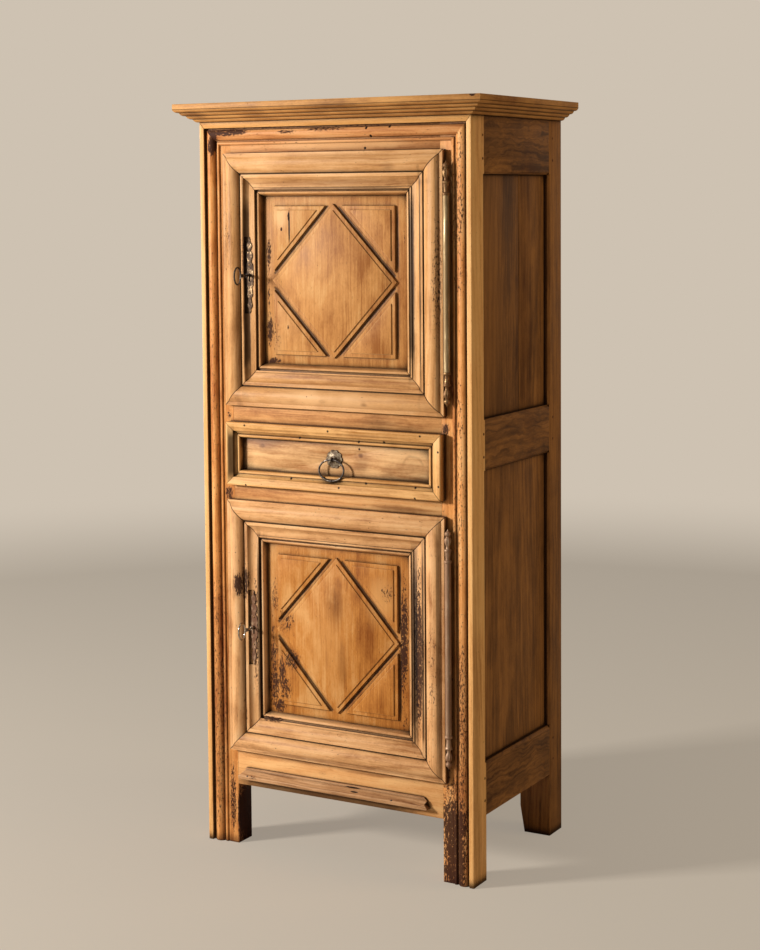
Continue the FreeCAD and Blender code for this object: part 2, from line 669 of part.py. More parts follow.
def boards(count, half_width, y, z, name):
    """Boards side by side across the case, with a joint between each two."""
    made = []
    for index in range(count):
        start = f"2 * ({half_width}) * {index} / {count} - ({half_width})"
        end = f"2 * ({half_width}) * {index + 1} / {count} - ({half_width})"
        made.append(block(f"{name}_{index + 1}", (f"{start} + plank_gap / 2", f"{end} - plank_gap / 2"), y, z))
    return node(name, *made)


# ---------------------------------------------------------------- doors


def door_profile(strip):
    """Section of the door moulding: -Y points outwards and -Z towards the panel."""
    steps = ["fillet_width", "torus_width", "quirk_width", "bead_width", "cove_width", "shelf_width",
             "arris_width", "step_width", "sight_width"]
    across = [f"-1 * ({' + '.join(steps[:count])})" for count in range(1, len(steps) + 1)]
    fillet, torus, quirk, bead, cove, shelf, arris, step, sight = across
    cove_chord = "sqrt((bead_height - cove_height) * (bead_height - cove_height) + cove_width * cove_width)"
    corners = [
        ("0", "0"), ("-1 * fillet_height", "0"),
        ("-1 * fillet_height", fillet, f"-1 * {rise_radius('torus_width', 'torus_rise')}"),
        ("-1 * fillet_height", torus), ("quirk_depth - fillet_height", torus),
        ("quirk_depth - fillet_height", quirk), ("-1 * bead_height", quirk),
        ("-1 * bead_height", bead, f"1.1 * {cove_chord}"),
        ("-1 * cove_height", cove), ("-1 * cove_height", shelf), ("-1 * arris_height", shelf),
        ("-1 * arris_height", arris), ("-1 * step_height", arris),
        ("-1 * step_height", step, f"-1 * {rise_radius('sight_width', 'sight_rise')}"),
        ("-1 * step_height", sight), ("panel_drop", "-1 * moulding_width"),
        ("panel_drop", "-1 * moulding_seat"), ("0", "-1 * moulding_seat"),
    ]
    return outline(strip, "YZ_Plane", corners)


def drawer_profile(strip):
    """Section of the drawer moulding: -Y points outwards and -Z towards the drawer's field."""
    face = "drawer_edge_round + drawer_face_width"
    cove = f"{face} + drawer_cove_width"
    bead = f"{cove} + drawer_bead_width"
    fallen = "drawer_moulding_height - drawer_face_fall"
    drop = f"({fallen} - drawer_cove_height)"
    cove_chord = f"sqrt({drop} * {drop} + drawer_cove_width * drawer_cove_width)"
    corners = [
        ("0", "0"), ("drawer_edge_round - drawer_moulding_height", "0", "-1 * drawer_edge_round"),
        ("-1 * drawer_moulding_height", "-1 * drawer_edge_round"),
        (f"-1 * ({fallen})", f"-1 * ({face})", f"0.9 * {cove_chord}"),
        ("-1 * drawer_cove_height", f"-1 * ({cove})",
         f"-1 * {rise_radius('drawer_bead_width', 'drawer_bead_rise * 0.9')}"),
        ("-1 * drawer_cove_height", f"-1 * ({bead})"), ("0", "-1 * drawer_moulding"),
    ]
    return outline(strip, "YZ_Plane", corners)


def mitred_strip(name, profile, width, length, turn=None, **place):
    """One side of a moulding frame, its outer edge along X before the turn, mitred at both ends."""
    strip = body(name, y="door_face", turn=turn, **place)
    pad(strip, profile(strip), length, "Symmetric")
    ends = []
    for way in ("", "-1 * "):
        tip, inner = f"{way}({length}) / 2", f"{way}(({length}) / 2 - {width})"
        ends.append([(tip, "0"), (inner, f"-1 * {width}"), (tip, f"-1 * {width}")])
    pocket(strip, outline(strip, "XZ_Plane", *ends), "4 * drawer_moulding_height", "Symmetric")
    return strip


def moulding_frame(name, profile, width, half_width, low, high):
    """Four mitred strips round a door or drawer: top, bottom, left and right."""
    middle = f"(({low}) + ({high})) / 2"
    top = mitred_strip(f"{name}_top", profile, width, f"2 * ({half_width})", z=high)
    left = mitred_strip(f"{name}_left", profile, width, f"({high}) - ({low})",
                        FreeCAD.Rotation(FreeCAD.Vector(0, 1, 0), -90), x=f"-1 * ({half_width})", z=middle)
    return top, mirror(f"{name}_bottom", top, (0, 0, 1), middle), left, mirror(f"{name}_right", left)


def inset_loop(corners, inset):
    """The loop moved inwards by an inset; corners are (u, v) numbers in order."""
    count, moved = len(corners), []
    centre = sum((FreeCAD.Vector(u, v, 0) for u, v in corners), FreeCAD.Vector()) / count
    lines = []
    for index in range(count):
        start = FreeCAD.Vector(*corners[index], 0)
        end = FreeCAD.Vector(*corners[(index + 1) % count], 0)
        normal = FreeCAD.Vector(start.y - end.y, end.x - start.x, 0).normalize()
        if normal.dot(centre - start) < 0:
            normal = -normal
        lines.append((normal, normal.dot(start) + inset))
    for index in range(count):
        (one, far), (two, wide) = lines[index - 1], lines[index]
        cross = one.x * two.y - one.y * two.x
        moved.append(((far * two.y - wide * one.y) / cross, (one.x * wide - two.x * far) / cross))
    return moved


def relief_loops(height):
    """Outlines of the lozenge and the four corner triangles on a door of this height."""
    across = number("door_side - moulding_width - relief_side_margin")
    up = number(f"({height}) / 2 - moulding_width - relief_end_margin")
    wide, tall = across + number("lozenge_reach"), up + number("lozenge_reach")
    slope = math.hypot(wide, tall)
    level = 1 + number("relief_gap") * slope / (wide * tall)
    foot_u, foot_v = wide * (level - up / tall), tall * (level - across / wide)
    loops = [[(wide, 0), (0, tall), (-wide, 0), (0, -tall)]]
    for way_u, way_v in ((1, 1), (-1, 1), (-1, -1), (1, -1)):
        loops.append([(way_u * across, way_v * up), (way_u * foot_u, way_v * up), (way_u * across, way_v * foot_v)])
    return loops


def panel_relief(name, middle, height):
    """The raised lozenge and triangles: a band all round, and a field standing on it."""
    layers = []
    low, field = number("relief_low"), number("relief_field")
    for inset, start, rise in ((0, 0, low), (number("relief_band"), low, field)):
        for loop in relief_loops(height):
            corners = [FreeCAD.Vector(u, -start, v) for u, v in inset_loop(loop, inset)]
            narrow = [FreeCAD.Vector(u, -start - rise, v) for u, v in inset_loop(loop, inset + rise / 4)]
            wires = [Part.makePolygon(ring + ring[:1]) for ring in (corners, narrow)]
            layers.append(Part.makeLoft(wires, True, True))
    relief = doc.addObject("Part::Feature", name)
    relief.Shape = layers[0].multiFuse(layers[1:])
    return bind(relief, y="panel_front", z=middle)


def ellipse_loop(name, plane, width, height, wire, lean="0", **place):
    """A closed loop of round wire, as wide and as tall as stated over the wire; an XZ loop may lean out."""
    thick = number(wire)
    across, up = number(width) / 2 - thick, number(height) / 2 - thick
    out = number(lean) / (2 * up)
    wide, tall = {"XZ": (FreeCAD.Vector(1, 0, 0), FreeCAD.Vector(0, out, math.sqrt(1 - out * out))),
                  "YZ": (FreeCAD.Vector(0, 1, 0), FreeCAD.Vector(0, 0, 1))}[plane]
    major, minor = (wide * across, tall * up) if across > up else (tall * up, wide * across)
    path = Part.Wire(Part.Ellipse(major, minor, FreeCAD.Vector()).toShape())
    section = Part.Wire(Part.makeCircle(thick, major, path.Edges[0].tangentAt(path.Edges[0].FirstParameter)))
    loop = doc.addObject("Part::Feature", name)
    loop.Shape = path.makePipeShell([section], True, True)
    return bind(loop, **place)


def finial(name, base):
    """Turned vase finial with the ring it stands on."""
    turned = body(name, x="hinge_x", y="hinge_y", z=base)

    def at(across, up, bulge=0):
        return f"{across} * finial_ring", f"{up} * finial_height", bulge

    steps = [at(0.9, 0), at(1, 0.018), at(1, 0.06), at(0.9, 0.078), at(0.6, 0.1), at(0.78, 0.335),
             at(0.86, 0.352, -0.22), at(0.86, 0.4), at(0.5, 0.43), at(0.5, 0.512, -0.2), at(0.52, 0.75),
             at(0.4, 0.78, -0.36), at(0.4, 0.92), at(0.18, 0.935)]
    corners = [("0", "0")]
    for index, (across, up, bulge) in enumerate(steps):
        corners.append(bowed((across, up), steps[index + 1][:2], bulge) if bulge else (across, up))
    revolve(turned, outline(turned, "XZ_Plane", corners + [("0", "finial_height")]))
    return turned


def hinge(name, door_nodes, low, high):
    """A long pin hinge: two knuckles on the door, one on the post, a pin and a lower finial."""
    third = f"((({high}) - ({low}) - 2 * knuckle_gap) / 3)"
    spans = [(low, f"({low}) + {third}"), (f"({low}) + {third} + knuckle_gap", f"({high}) - {third} - knuckle_gap"),
             (f"({high}) - {third}", high)]
    bore = rod(f"{name}_bore", "z", "pin_radius + pin_clearance", ("hinge_x", "hinge_y", f"({low}) - 1"),
               f"({high}) - ({low}) + 2")
    knuckles, slots = [], []
    for index, (start, end) in enumerate(spans):
        barrel = rod(f"{name}_barrel_{index}", "z", "barrel_radius", ("hinge_x", "hinge_y", start),
                     f"({end}) - ({start})")
        if index == 1:
            leaf = (("hinge_x - barrel_radius", "hinge_x - barrel_radius + leaf_thick"),
                    ("hinge_y", "hinge_y + leaf_length"), (start, end))
        else:
            leaf = (("hinge_x - leaf_length", "hinge_x"),
                    ("hinge_y + barrel_radius - leaf_thick", "hinge_y + barrel_radius"), (start, end))
        plate = block(f"{name}_leaf_{index}", *leaf)
        knuckles.append(cut(f"{name}_knuckle_{index}", fuse(f"{name}_rolled_{index}", barrel, plate), bore))
        slots.append(block(f"{name}_slot_{index}", *leaf, grow="leaf_clearance"))
    node(f"{name}_post_knuckle", knuckles[1])
    node(f"{name}_door_knuckles", knuckles[0], knuckles[2])
    shaft = rod(f"{name}_shaft", "z", "pin_radius", ("hinge_x", "hinge_y", low), f"({high}) - ({low})")
    node(f"{name}_pin", fuse(f"{name}_pin_turned", shaft, finial(f"{name}_top_finial", high)))
    node(f"{name}_lower_finial", mirror(f"{name}_foot", finial(f"{name}_foot_blank", low), (0, 0, 1), low))
    door_nodes += [f"{name}_door_knuckles", f"{name}_pin", f"{name}_lower_finial"]
    return slots


def escutcheon(name, height, keyhole):
    """A tall pierced plate: a waisted body round the keyhole, running out in lobed tips."""
    plate = body(f"{name}_plate", x="key_x", y="plate_seat", z=height)
    wide, tall = "plate_half_width", "plate_half_height"
    steps = [(0.16, 0.93, 0), (0.12, 0.87, 0.22), (0.46, 0.72, 0), (0.2, 0.63, 0.22), (0.56, 0.44, 0),
             (0.36, 0.35, 0.13), (0.84, 0.08, 0.05), (0.86, -0.16, 0.14), (0.42, -0.31, 0), (0.6, -0.45, 0.14),
             (0.24, -0.6, 0), (0.44, -0.74, 0.2), (0.14, -0.88, 0), (0.18, -0.94, 0)]
    places = [(f"{across} * {wide}", f"{up} * {tall}") for across, up, _ in steps] + [("0", f"-1 * {tall}")]
    right = [bowed(places[index], places[index + 1], bulge) if bulge else places[index]
             for index, (_, _, bulge) in enumerate(steps)]
    corners = [("0", tall)] + right + [("0", f"-1 * {tall}")]
    half = pad(plate, outline(plate, "XZ_Plane", corners), "plate_thick")
    other = plate.newObject("PartDesign::Mirrored", f"{name}_mirrored")
    other.Originals = [half]
    middle = [item for item in plate.Origin.OriginFeatures if item.Role == "YZ_Plane"][0]
    other.MirrorPlane = (middle, [""])
    plate.Tip = other
    return node(name, cut(f"{name}_pierced", plate, keyhole))


def lock(name, height):
    """A rim lock inside the door, its bolt, its key, and the key's hole through the door."""
    mouth = "plate_seat - 2 * plate_thick"
    depth = f"door_back - ({mouth}) + lock_wall"
    hole = rod(f"{name}_keyhole_round", "y", "keyhole_radius", ("key_x", mouth, height), depth)
    slot = block(f"{name}_keyhole_slot", ("key_x - keyhole_slot / 2", "key_x + keyhole_slot / 2"),
                 (mouth, f"{mouth} + {depth}"),
                 (f"{height} - bit_radius - 0.5", height))
    keyhole = fuse(f"{name}_keyhole", hole, slot)

    x = ("lock_left", "lock_left + lock_width")
    y = ("door_back", "door_back + lock_thick")
    z = (f"{height} - lock_below", f"{height} + lock_above")
    case = block(f"{name}_case_blank", x, y, z)
    cavity = block(f"{name}_cavity", (f"{x[0]} + lock_wall", f"{x[1]} - lock_wall"), (y[0], f"{y[1]} - lock_wall"),
                   (f"{z[0]} + lock_wall", f"{z[1]} - lock_wall"))
    bolt_y = ("door_back + bolt_setback", "door_back + bolt_setback + bolt_thick")
    bolt_z = (f"{height} + bolt_rise", f"{height} + bolt_rise + bolt_height")
    guide = block(f"{name}_guide", ("lock_left + bolt_length - 14", "lock_left + bolt_length - 8"),
                  ("door_back + lock_wall", f"{y[1]} - lock_wall / 2"),
                  (f"{bolt_z[0]} - lock_wall - 1", f"{bolt_z[1]} + lock_wall + 1"))
    channel = block(f"{name}_channel", ("lock_left - 1", f"{x[1]} - lock_wall - 1"), bolt_y, bolt_z, "bolt_clearance")
    pilot_hole = rod(f"{name}_pilot_hole", "y", "key_pilot + pin_clearance", ("key_x", "door_back", height),
                     "lock_thick + 1")
    tray = fuse(f"{name}_tray", cut(f"{name}_hollow", case, cavity), guide)
    node(f"{name}_lock_case", cut(f"{name}_case", tray, channel, pilot_hole))
    node(f"{name}_lock_bolt", block(f"{name}_bolt_bar", ("lock_left", "lock_left + bolt_length"), bolt_y, bolt_z))

    tip = "front - key_reach"
    neck = f"{tip} + bow_length"
    shaft = rod(f"{name}_key_shaft", "y", "key_shaft", ("key_x", f"{neck} - 0.75 * bow_wire", height),
                f"door_back + lock_thick - lock_wall - ({neck} - 0.75 * bow_wire)")
    pilot = rod(f"{name}_key_end", "y", "key_pilot", ("key_x", f"{neck}", height), f"door_back + lock_thick - ({neck})")
    collars = [rod(f"{name}_key_collar_{index}", "y", f"key_shaft + {grow}", ("key_x", f"{neck} + {along}", height), 3)
               for index, (grow, along) in enumerate(((1.6, 2), (0.9, 7), (1.2, 24)))]
    bow = ellipse_loop(f"{name}_key_bow", "YZ", "bow_length", "bow_height", "bow_wire",
                       x="key_x", y=f"{tip} + bow_length / 2", z=height)
    bit = block(f"{name}_key_bit", ("key_x - bit_thick / 2", "key_x + bit_thick / 2"),
                (f"{y[1]} - lock_wall - 1 - bit_length", f"{y[1]} - lock_wall - 1"), (f"{height} - bit_radius", height))
    node(f"{name}_key", fuse(f"{name}_key_forged", shaft, pilot, *collars, bow, bit))
    mortise = block(f"{name}_bolt_mortise", ("lock_left - bolt_throw - 1", "1 - opening"), bolt_y, bolt_z,
                    "5 * bolt_clearance")
    return keyhole, mortise


def door(name, low, high, key_height, barrel):
    """A framed door: stiles, rails, lozenge panel, moulding, lock with key, and pin hinge."""
    frame_low, frame_high = f"({low} + door_lip + door_gap)", f"({high} - door_lip - door_gap)"
    sight_low, sight_high = f"({low} + moulding_seat)", f"({high} - moulding_seat)"
    middle = f"(({low} + {high}) / 2)"
    keyhole, mortise = lock(name, key_height)
    parts = []
    slots = hinge(f"{name}_hinge", parts, *barrel)

    plate = (("-1 * (stile_inner + panel_groove)", "stile_inner + panel_groove"), ("panel_front", "panel_back"),
             (f"{sight_low} - panel_groove", f"{sight_high} + panel_groove"))
    groove = block(f"{name}_door_groove", *plate, grow="joint_clearance")
    rails, mortises = [], []
    for place, start, end in (("bottom", frame_low, sight_low), ("top", sight_high, frame_high)):
        tenon = (("-1 * (stile_inner + door_tenon_length)", "stile_inner + door_tenon_length"),
                 ("panel_front", "panel_back"), (f"{start} + tenon_shoulder", f"{end} - tenon_shoulder"))
        board = block(f"{name}_{place}_rail_board", ("-1 * stile_inner", "stile_inner"), ("door_face", "door_back"),
                      (start, end))
        whole = fuse(f"{name}_{place}_rail", board, block(f"{name}_{place}_rail_tenon", *tenon))
        rails.append(cut(f"{name}_{place}_rail_grooved", whole, groove))
        mortises.append(block(f"{name}_{place}_mortise", *tenon, grow="joint_clearance"))
    stile = block(f"{name}_stile_blank", ("-1 * frame_side", "-1 * stile_inner"), ("door_face", "door_back"),
                  (frame_low, frame_high))
    stile = cut(f"{name}_stile", stile, groove, *mortises)
    node(f"{name}_door_stiles", cut(f"{name}_lock_stile", stile, keyhole), mirror(f"{name}_hinge_stile", stile))
    node(f"{name}_door_rails", *rails)

    ground = block(f"{name}_panel_ground", *plate)
    node(f"{name}_door_panel", fuse(f"{name}_panel_carved", ground, panel_relief(f"{name}_relief", middle, f"{high} - {low}")))

    frame = moulding_frame(f"{name}_moulding", door_profile, "moulding_width", "door_side", low, high)
    seat = block(f"{name}_plate_seat", ("key_x - plate_half_width", "key_x + plate_half_width"),
                 ("plate_seat - 2 * bead_height", "plate_seat - seat_clearance"),
                 (f"{key_height} - plate_half_height", f"{key_height} + plate_half_height"), "seat_clearance")
    left = cut(f"{name}_moulding_lock_side", frame[2], seat, keyhole)
    right = cut(f"{name}_moulding_hinge_side", frame[3], slots[0], slots[2])
    node(f"{name}_door_moulding", frame[0], frame[1], left, right)
    escutcheon(f"{name}_escutcheon", key_height, keyhole)
    return slots[1], mortise


# ---------------------------------------------------------------- drawer


def tailed_plate(name, shoulder, end, grow="0", outer="0"):
    """The left drawer side, its front end cut into three tails; grown, it is the room that they need."""
    plate = body(name, x=f"-1 * (drawer_side + {outer})", y="drawer_box_front", z="drawer_box_bottom")
    near, far = f"(tail_width / 2 + {grow})", f"(tail_width / 2 + tail_length / 5 + {grow})"
    tip = f"-1 * (tail_length + {grow})"
    corners = [(shoulder, "0")]
    for sixth in (1, 3, 5):
        middle = f"drawer_side_height * {sixth} / 6"
        corners += [(shoulder, f"{middle} - {near}"), (tip, f"{middle} - {far}"),
                    (tip, f"{middle} + {far}"), (shoulder, f"{middle} + {near}")]
    corners += [(shoulder, "drawer_side_height"), (end, "drawer_side_height"), (end, "0")]
    pad(plate, outline(plate, "YZ_Plane", corners), f"drawer_side_thick + {outer} + {grow}")
    return plate


def drawer():
    """The drawer: sides dovetailed into a moulded front, its drop ring and rosette."""
    inner = "(drawer_side - drawer_side_thick)"
    end = "(back_rail_front - drawer_back_room)"
    bottom_low = "(drawer_box_bottom + drawer_bottom_rise)"
    bottom = ((f"-1 * ({inner} + drawer_groove)", f"{inner} + drawer_groove"),
              ("drawer_box_front - drawer_groove", end), (bottom_low, f"{bottom_low} + drawer_bottom_thick"))
    groove = block("drawer_groove_cut", *bottom, grow="joint_clearance")
    front = block("drawer_front_blank", ("-1 * drawer_side", "drawer_side"), ("door_face", "drawer_box_front"),
                  ("drawer_opening_bottom + drawer_rise", "drawer_opening_top - drawer_rise"))
    shank_hole = rod("staple_hole", "y", "staple_shank + joint_clearance", ("0", "door_face - 1", "ring_z"),
                     "drawer_front_thick + 2")
    sockets = tailed_plate("drawer_sockets", "0.5", "5", "joint_clearance", "1")
    node("drawer_front", cut("drawer_front_bored", front, groove, shank_hole, sockets,
                             mirror("drawer_sockets_right", sockets)))
    side = cut("drawer_side_left", tailed_plate("drawer_side_blank", "0", f"{end} - drawer_box_front"), groove)
    node("drawer_sides", side, mirror("drawer_side_right", side))
    node("drawer_back", block("drawer_back_board", (f"-1 * {inner}", inner), (f"{end} - drawer_side_thick", end),
                              (f"{bottom_low} + drawer_bottom_thick", "drawer_box_bottom + drawer_side_height")))
    node("drawer_bottom_board", block("drawer_bottom_plate", *bottom))
    node("drawer_moulding_frame", *moulding_frame("drawer_trim", drawer_profile, "drawer_moulding",
                                                  "opening + drawer_lip", "drawer_bottom", "drawer_top"))

    plate = body("rosette_body", y="door_face", z="ring_z")
    disc = [("0", "0"), ("rosette_radius", "0"), ("rosette_radius", "rosette_thick"),
            ("rosette_boss", "1.4 * rosette_thick", "-1.6 * rosette_boss"), ("0", "2.2 * rosette_thick")]
    plate.Placement.Rotation = FreeCAD.Rotation(FreeCAD.Vector(1, 0, 0), 90)
    revolve(plate, outline(plate, "XZ_Plane", disc))
    petal = body("petal_body", y="door_face", z="ring_z")
    petal.Placement.Rotation = FreeCAD.Rotation(FreeCAD.Vector(1, 0, 0), 90)
    lobe = petal.newObject("PartDesign::AdditiveCylinder", "petal_lobe")
    bind(lobe, Radius="petal_radius", Height="rosette_thick * 0.8", x="rosette_radius")
    ring = petal.newObject("PartDesign::PolarPattern", "petal_ring")
    ring.Originals = [lobe]
    ring.Axis = ([item for item in petal.Origin.OriginFeatures if item.Role == "Z_Axis"][0], [""])
    ring.Angle = 360
    ring.Occurrences = 10
    petal.Tip = ring
    shank_way = rod("rosette_hole", "y", "staple_shank + joint_clearance",
                    ("0", "door_face - 4 * rosette_thick", "ring_z"), "5 * rosette_thick")
    node("drawer_rosette", cut("rosette_bored", fuse("rosette_whole", plate, petal), shank_way))

    eye = doc.addObject("Part::Torus", "staple_eye")
    eye.Placement.Rotation = AXIS_TURNS["x"]
    bind(eye, Radius1="eye_radius", Radius2="eye_wire", y="ring_y", z="ring_z")
    shank = rod("staple_bar", "y", "staple_shank", ("0", "ring_y + eye_radius", "ring_z"),
                "drawer_box_front + 3 - (ring_y + eye_radius)")
    clinch = rod("staple_rivet", "y", "2 * staple_shank", ("0", "drawer_box_front", "ring_z"), 3)
    node("drawer_staple", fuse("staple_whole", eye, shank, clinch))
    node("drawer_ring", ellipse_loop("ring_loop", "XZ", "ring_width", "ring_drop", "ring_wire", "ring_lean",
                                     x="0", y="ring_y - ring_lean / 2",
                                     z="ring_z - sqrt(ring_span * ring_span - ring_lean * ring_lean) / 2"))


# ---------------------------------------------------------------- the whole cabinet

PLACES["plate_seat"] = "(door_face - cove_height)"


def build():
    """Build every sub-part of the cabinet."""
    upper = door("upper", "upper_door_bottom", "upper_door_top", "upper_key_height",
                 ("upper_door_bottom + upper_hinge_rise", "upper_door_top - hinge_drop"))
    lower = door("lower", "lower_door_bottom", "lower_door_top", "lower_key_height",
                 ("lower_door_bottom + lower_hinge_rise", "lower_door_top - hinge_drop"))
    drawer()

    top_rail()
    front_spans = {
        "front_drawer_top_rail": ("drawer_opening_top", "deck_top"),
        "front_drawer_bottom_rail": ("lower_opening_top", "drawer_opening_bottom"),
        "front_bottom_rail": ("front_rail_bottom", "floor_top"),
    }
    for name, span in front_spans.items():
        front_rail(name, *span)
    front_spans["front_top_rail"] = ("top_rail_bottom", "case_height")
    front_mortises = [front_tenon(f"{name}_mortise", *span, grow="joint_clearance")
                      for name, span in front_spans.items()]

    side_spans = {
        "bottom": ("side_rail_bottom", "side_bottom_top"),
        "middle": ("side_middle_bottom", "side_middle_top"),
        "top": ("side_top_bottom", "case_height"),
    }
    side_rails = [side_rail(f"side_{name}_rail", *span, name != "bottom", name != "top")
                  for name, span in side_spans.items()]
    side_mortises = [side_tenon(f"side_{name}_mortise", *span, grow="joint_clearance")
                     for name, span in side_spans.items()]
    node("left_side_rails", *side_rails)
    node("right_side_rails", *[mirror(f"right_{rail.Name}", rail) for rail in side_rails])

    panel_x = ("side_panel_setback - side", "side_panel_setback + side_panel_thick - side")
    panel_y = ("post_back - panel_groove", "back_post_front + panel_groove")
    panel_z = {"lower": ("side_bottom_top", "side_middle_bottom"), "upper": ("side_middle_top", "side_top_bottom")}
    panels, grooves, strip_chamfers, post_chamfers = {}, [], [], []
    for name, (low, high) in panel_z.items():
        tall = (f"{low} - panel_groove", f"{high} + panel_groove")
        panels[name] = block(f"{name}_side_panel", panel_x, panel_y, tall)
        grooves.append(block(f"{name}_side_groove", panel_x, panel_y, tall, "joint_clearance"))
        strip_chamfers.append(panel_chamfer(f"{name}_strip_chamfer", (low, high), "post_back", -1))
        post_chamfers.append(panel_chamfer(f"{name}_post_chamfer", (low, high), "back_post_front", 1))
    node("left_side_panels", *panels.values())
    seam = "front + 0.56 * case_depth"
    tall = ("side_middle_top - panel_groove", "side_top_bottom + panel_groove")
    right_x = [f"-1 * ({place})" for place in reversed(panel_x)]
    node("right_side_panels", mirror("right_lower_panel", panels["lower"]),
         block("right_upper_panel_front", right_x, (panel_y[0], f"{seam} - plank_gap / 2"), tall),
         block("right_upper_panel_back", right_x, (f"{seam} + plank_gap / 2", panel_y[1]), tall))

    post = cut("front_post_joined", front_post(), *front_mortises, *side_mortises, *grooves)
    node("front_left_post", cut("front_left_post_bored", post, upper[1], lower[1]))
    node("front_right_post", cut("front_right_post_slotted", mirror("front_right_post_plain", post),
                                 upper[0], lower[0]))
    strip = cut("corner_strip_chamfered", corner_strip(), *strip_chamfers)
    node("corner_strips", strip, mirror("corner_strip_right", strip))
    frieze_strip()

    back_spans = {
        "bottom": ("front_rail_bottom", "front_rail_bottom + back_rail_height"),
        "middle": ("back_middle_bottom", "back_middle_bottom + back_rail_height"),
        "top": ("case_height - back_rail_height", "case_height"),
    }
    inside = "(side - back_post_width)"
    back_rails, back_mortises = [], []
    for name, (low, high) in back_spans.items():
        board = block(f"back_{name}_board", (f"-1 * {inside}", inside), ("back_rail_front", "plank_front"), (low, high))
        back_rails.append(fuse(f"back_{name}_rail", board, back_tenon(f"back_{name}_tenon", low, high)))
        back_mortises.append(back_tenon(f"back_{name}_mortise", low, high, "joint_clearance"))
    node("back_rails", *back_rails)
    post = cut("back_post_joined", back_post(), *side_mortises, *grooves, *back_mortises, *post_chamfers)
    node("back_left_post", post)
    node("back_right_post", mirror("back_right_post_whole", post))
    boards(4, inside, ("plank_front", "back"), ("front_rail_bottom", "case_height"), "back_planks")

    room = "board_clearance"
    whole_height = ("0", "case_height")
    corners = [
        block("front_notch", ("-1 * side", "-1 * opening"), ("front", "post_back"), whole_height, room),
        block("back_notch", ("-1 * side", f"-1 * {inside}"), ("back_post_front", "back"), whole_height, room),
    ]
    corners += [mirror(f"{corner.Name}_right", corner) for corner in corners]
    notches = group("post_notches", *corners)
    node("floor_board", notched_board("floor", ("rail_back", "back_rail_front"), "floor_top", "board_thick", notches))
    node("upper_deck", notched_board("deck", ("rail_back", "plank_front"), "deck_top", "board_thick", notches))
    for name, top in (("upper_shelf", "upper_shelf_top"), ("lower_shelf", "lower_shelf_top")):
        node(name, notched_board(f"{name}_board", ("front + shelf_setback", "plank_front"), top, "board_thick",
                                 notches))
    on_panel = "side_panel_setback + side_panel_thick"
    cleats = [cleat("floor_cleat", "side_rail_thick", "floor_top - board_thick"),
              cleat("deck_cleat", "side_rail_thick", "deck_top - board_thick"),
              cleat("upper_shelf_cleat", on_panel, "upper_shelf_top - board_thick"),
              cleat("lower_shelf_cleat", on_panel, "lower_shelf_top - board_thick")]
    node("board_cleats", *cleats, *[mirror(f"{strip.Name}_right", strip) for strip in cleats])

    outer = "side_rail_thick - side"
    run = ("rail_back", "back_rail_front")
    bearer = block("runner_bearer", (outer, "runner_bearing_width - drawer_side"), run,
                   ("drawer_opening_bottom - runner_thick", "drawer_opening_bottom"))
    guide = block("runner_guide", (outer, "-1 * (drawer_side + guide_clearance)"), run,
                  ("drawer_opening_bottom", "drawer_opening_bottom + guide_height"))
    for name, strip in (("runner", bearer), ("guide", guide)):
        left = cut(f"{name}_left", strip, notches)
        node(f"drawer_{name}s", left, mirror(f"{name}_right", left))

    base_moulding()
    cornice()
    boards(3, "side - cornice_seat", ("front + cornice_seat", "back"),
           ("case_height", "case_height + top_board_thick"), "top_boards")


def export():
    """Check every object and write each sub-part's solids."""
    doc.recompute()
    failed = [thing.Name for thing in doc.Objects if {"Invalid", "Error"} & set(thing.State)]
    if failed:
        raise ValueError(f"failed objects: {failed}")
    for made in nodes:
        shape = made.Shape
        if shape.isNull() or not shape.isValid() or not shape.Solids:
            raise ValueError(f"{made.Label} is not a sound solid")
    os.makedirs("parts", exist_ok=True)
    for made in nodes:
        made.Shape.exportStep(f"parts/{made.Label}.step")
        print(f"{made.Label}: {len(made.Shape.Solids)} solids, {made.Shape.Volume / 1000:.1f} cm3")


build()
export()
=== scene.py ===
"""Bonnetiere cabinet: dresses the fixed joinery in worn waxed wood, aged brass and dark iron.

Each sub-assembly is a class that holds its sizes, makes its pieces and dresses them. The joinery
itself comes from the frame: its arrises are softened here and each board gets its own grain.
Tones are written as the eye reads them, 0 to 255, and the marks on the wood in millimetres.
"""

from __future__ import annotations

import json
import logging
import math
import random
from dataclasses import dataclass, replace
from enum import Enum
from functools import reduce
from typing import Sequence

import bmesh
import bpy
from mathutils import Matrix, Vector

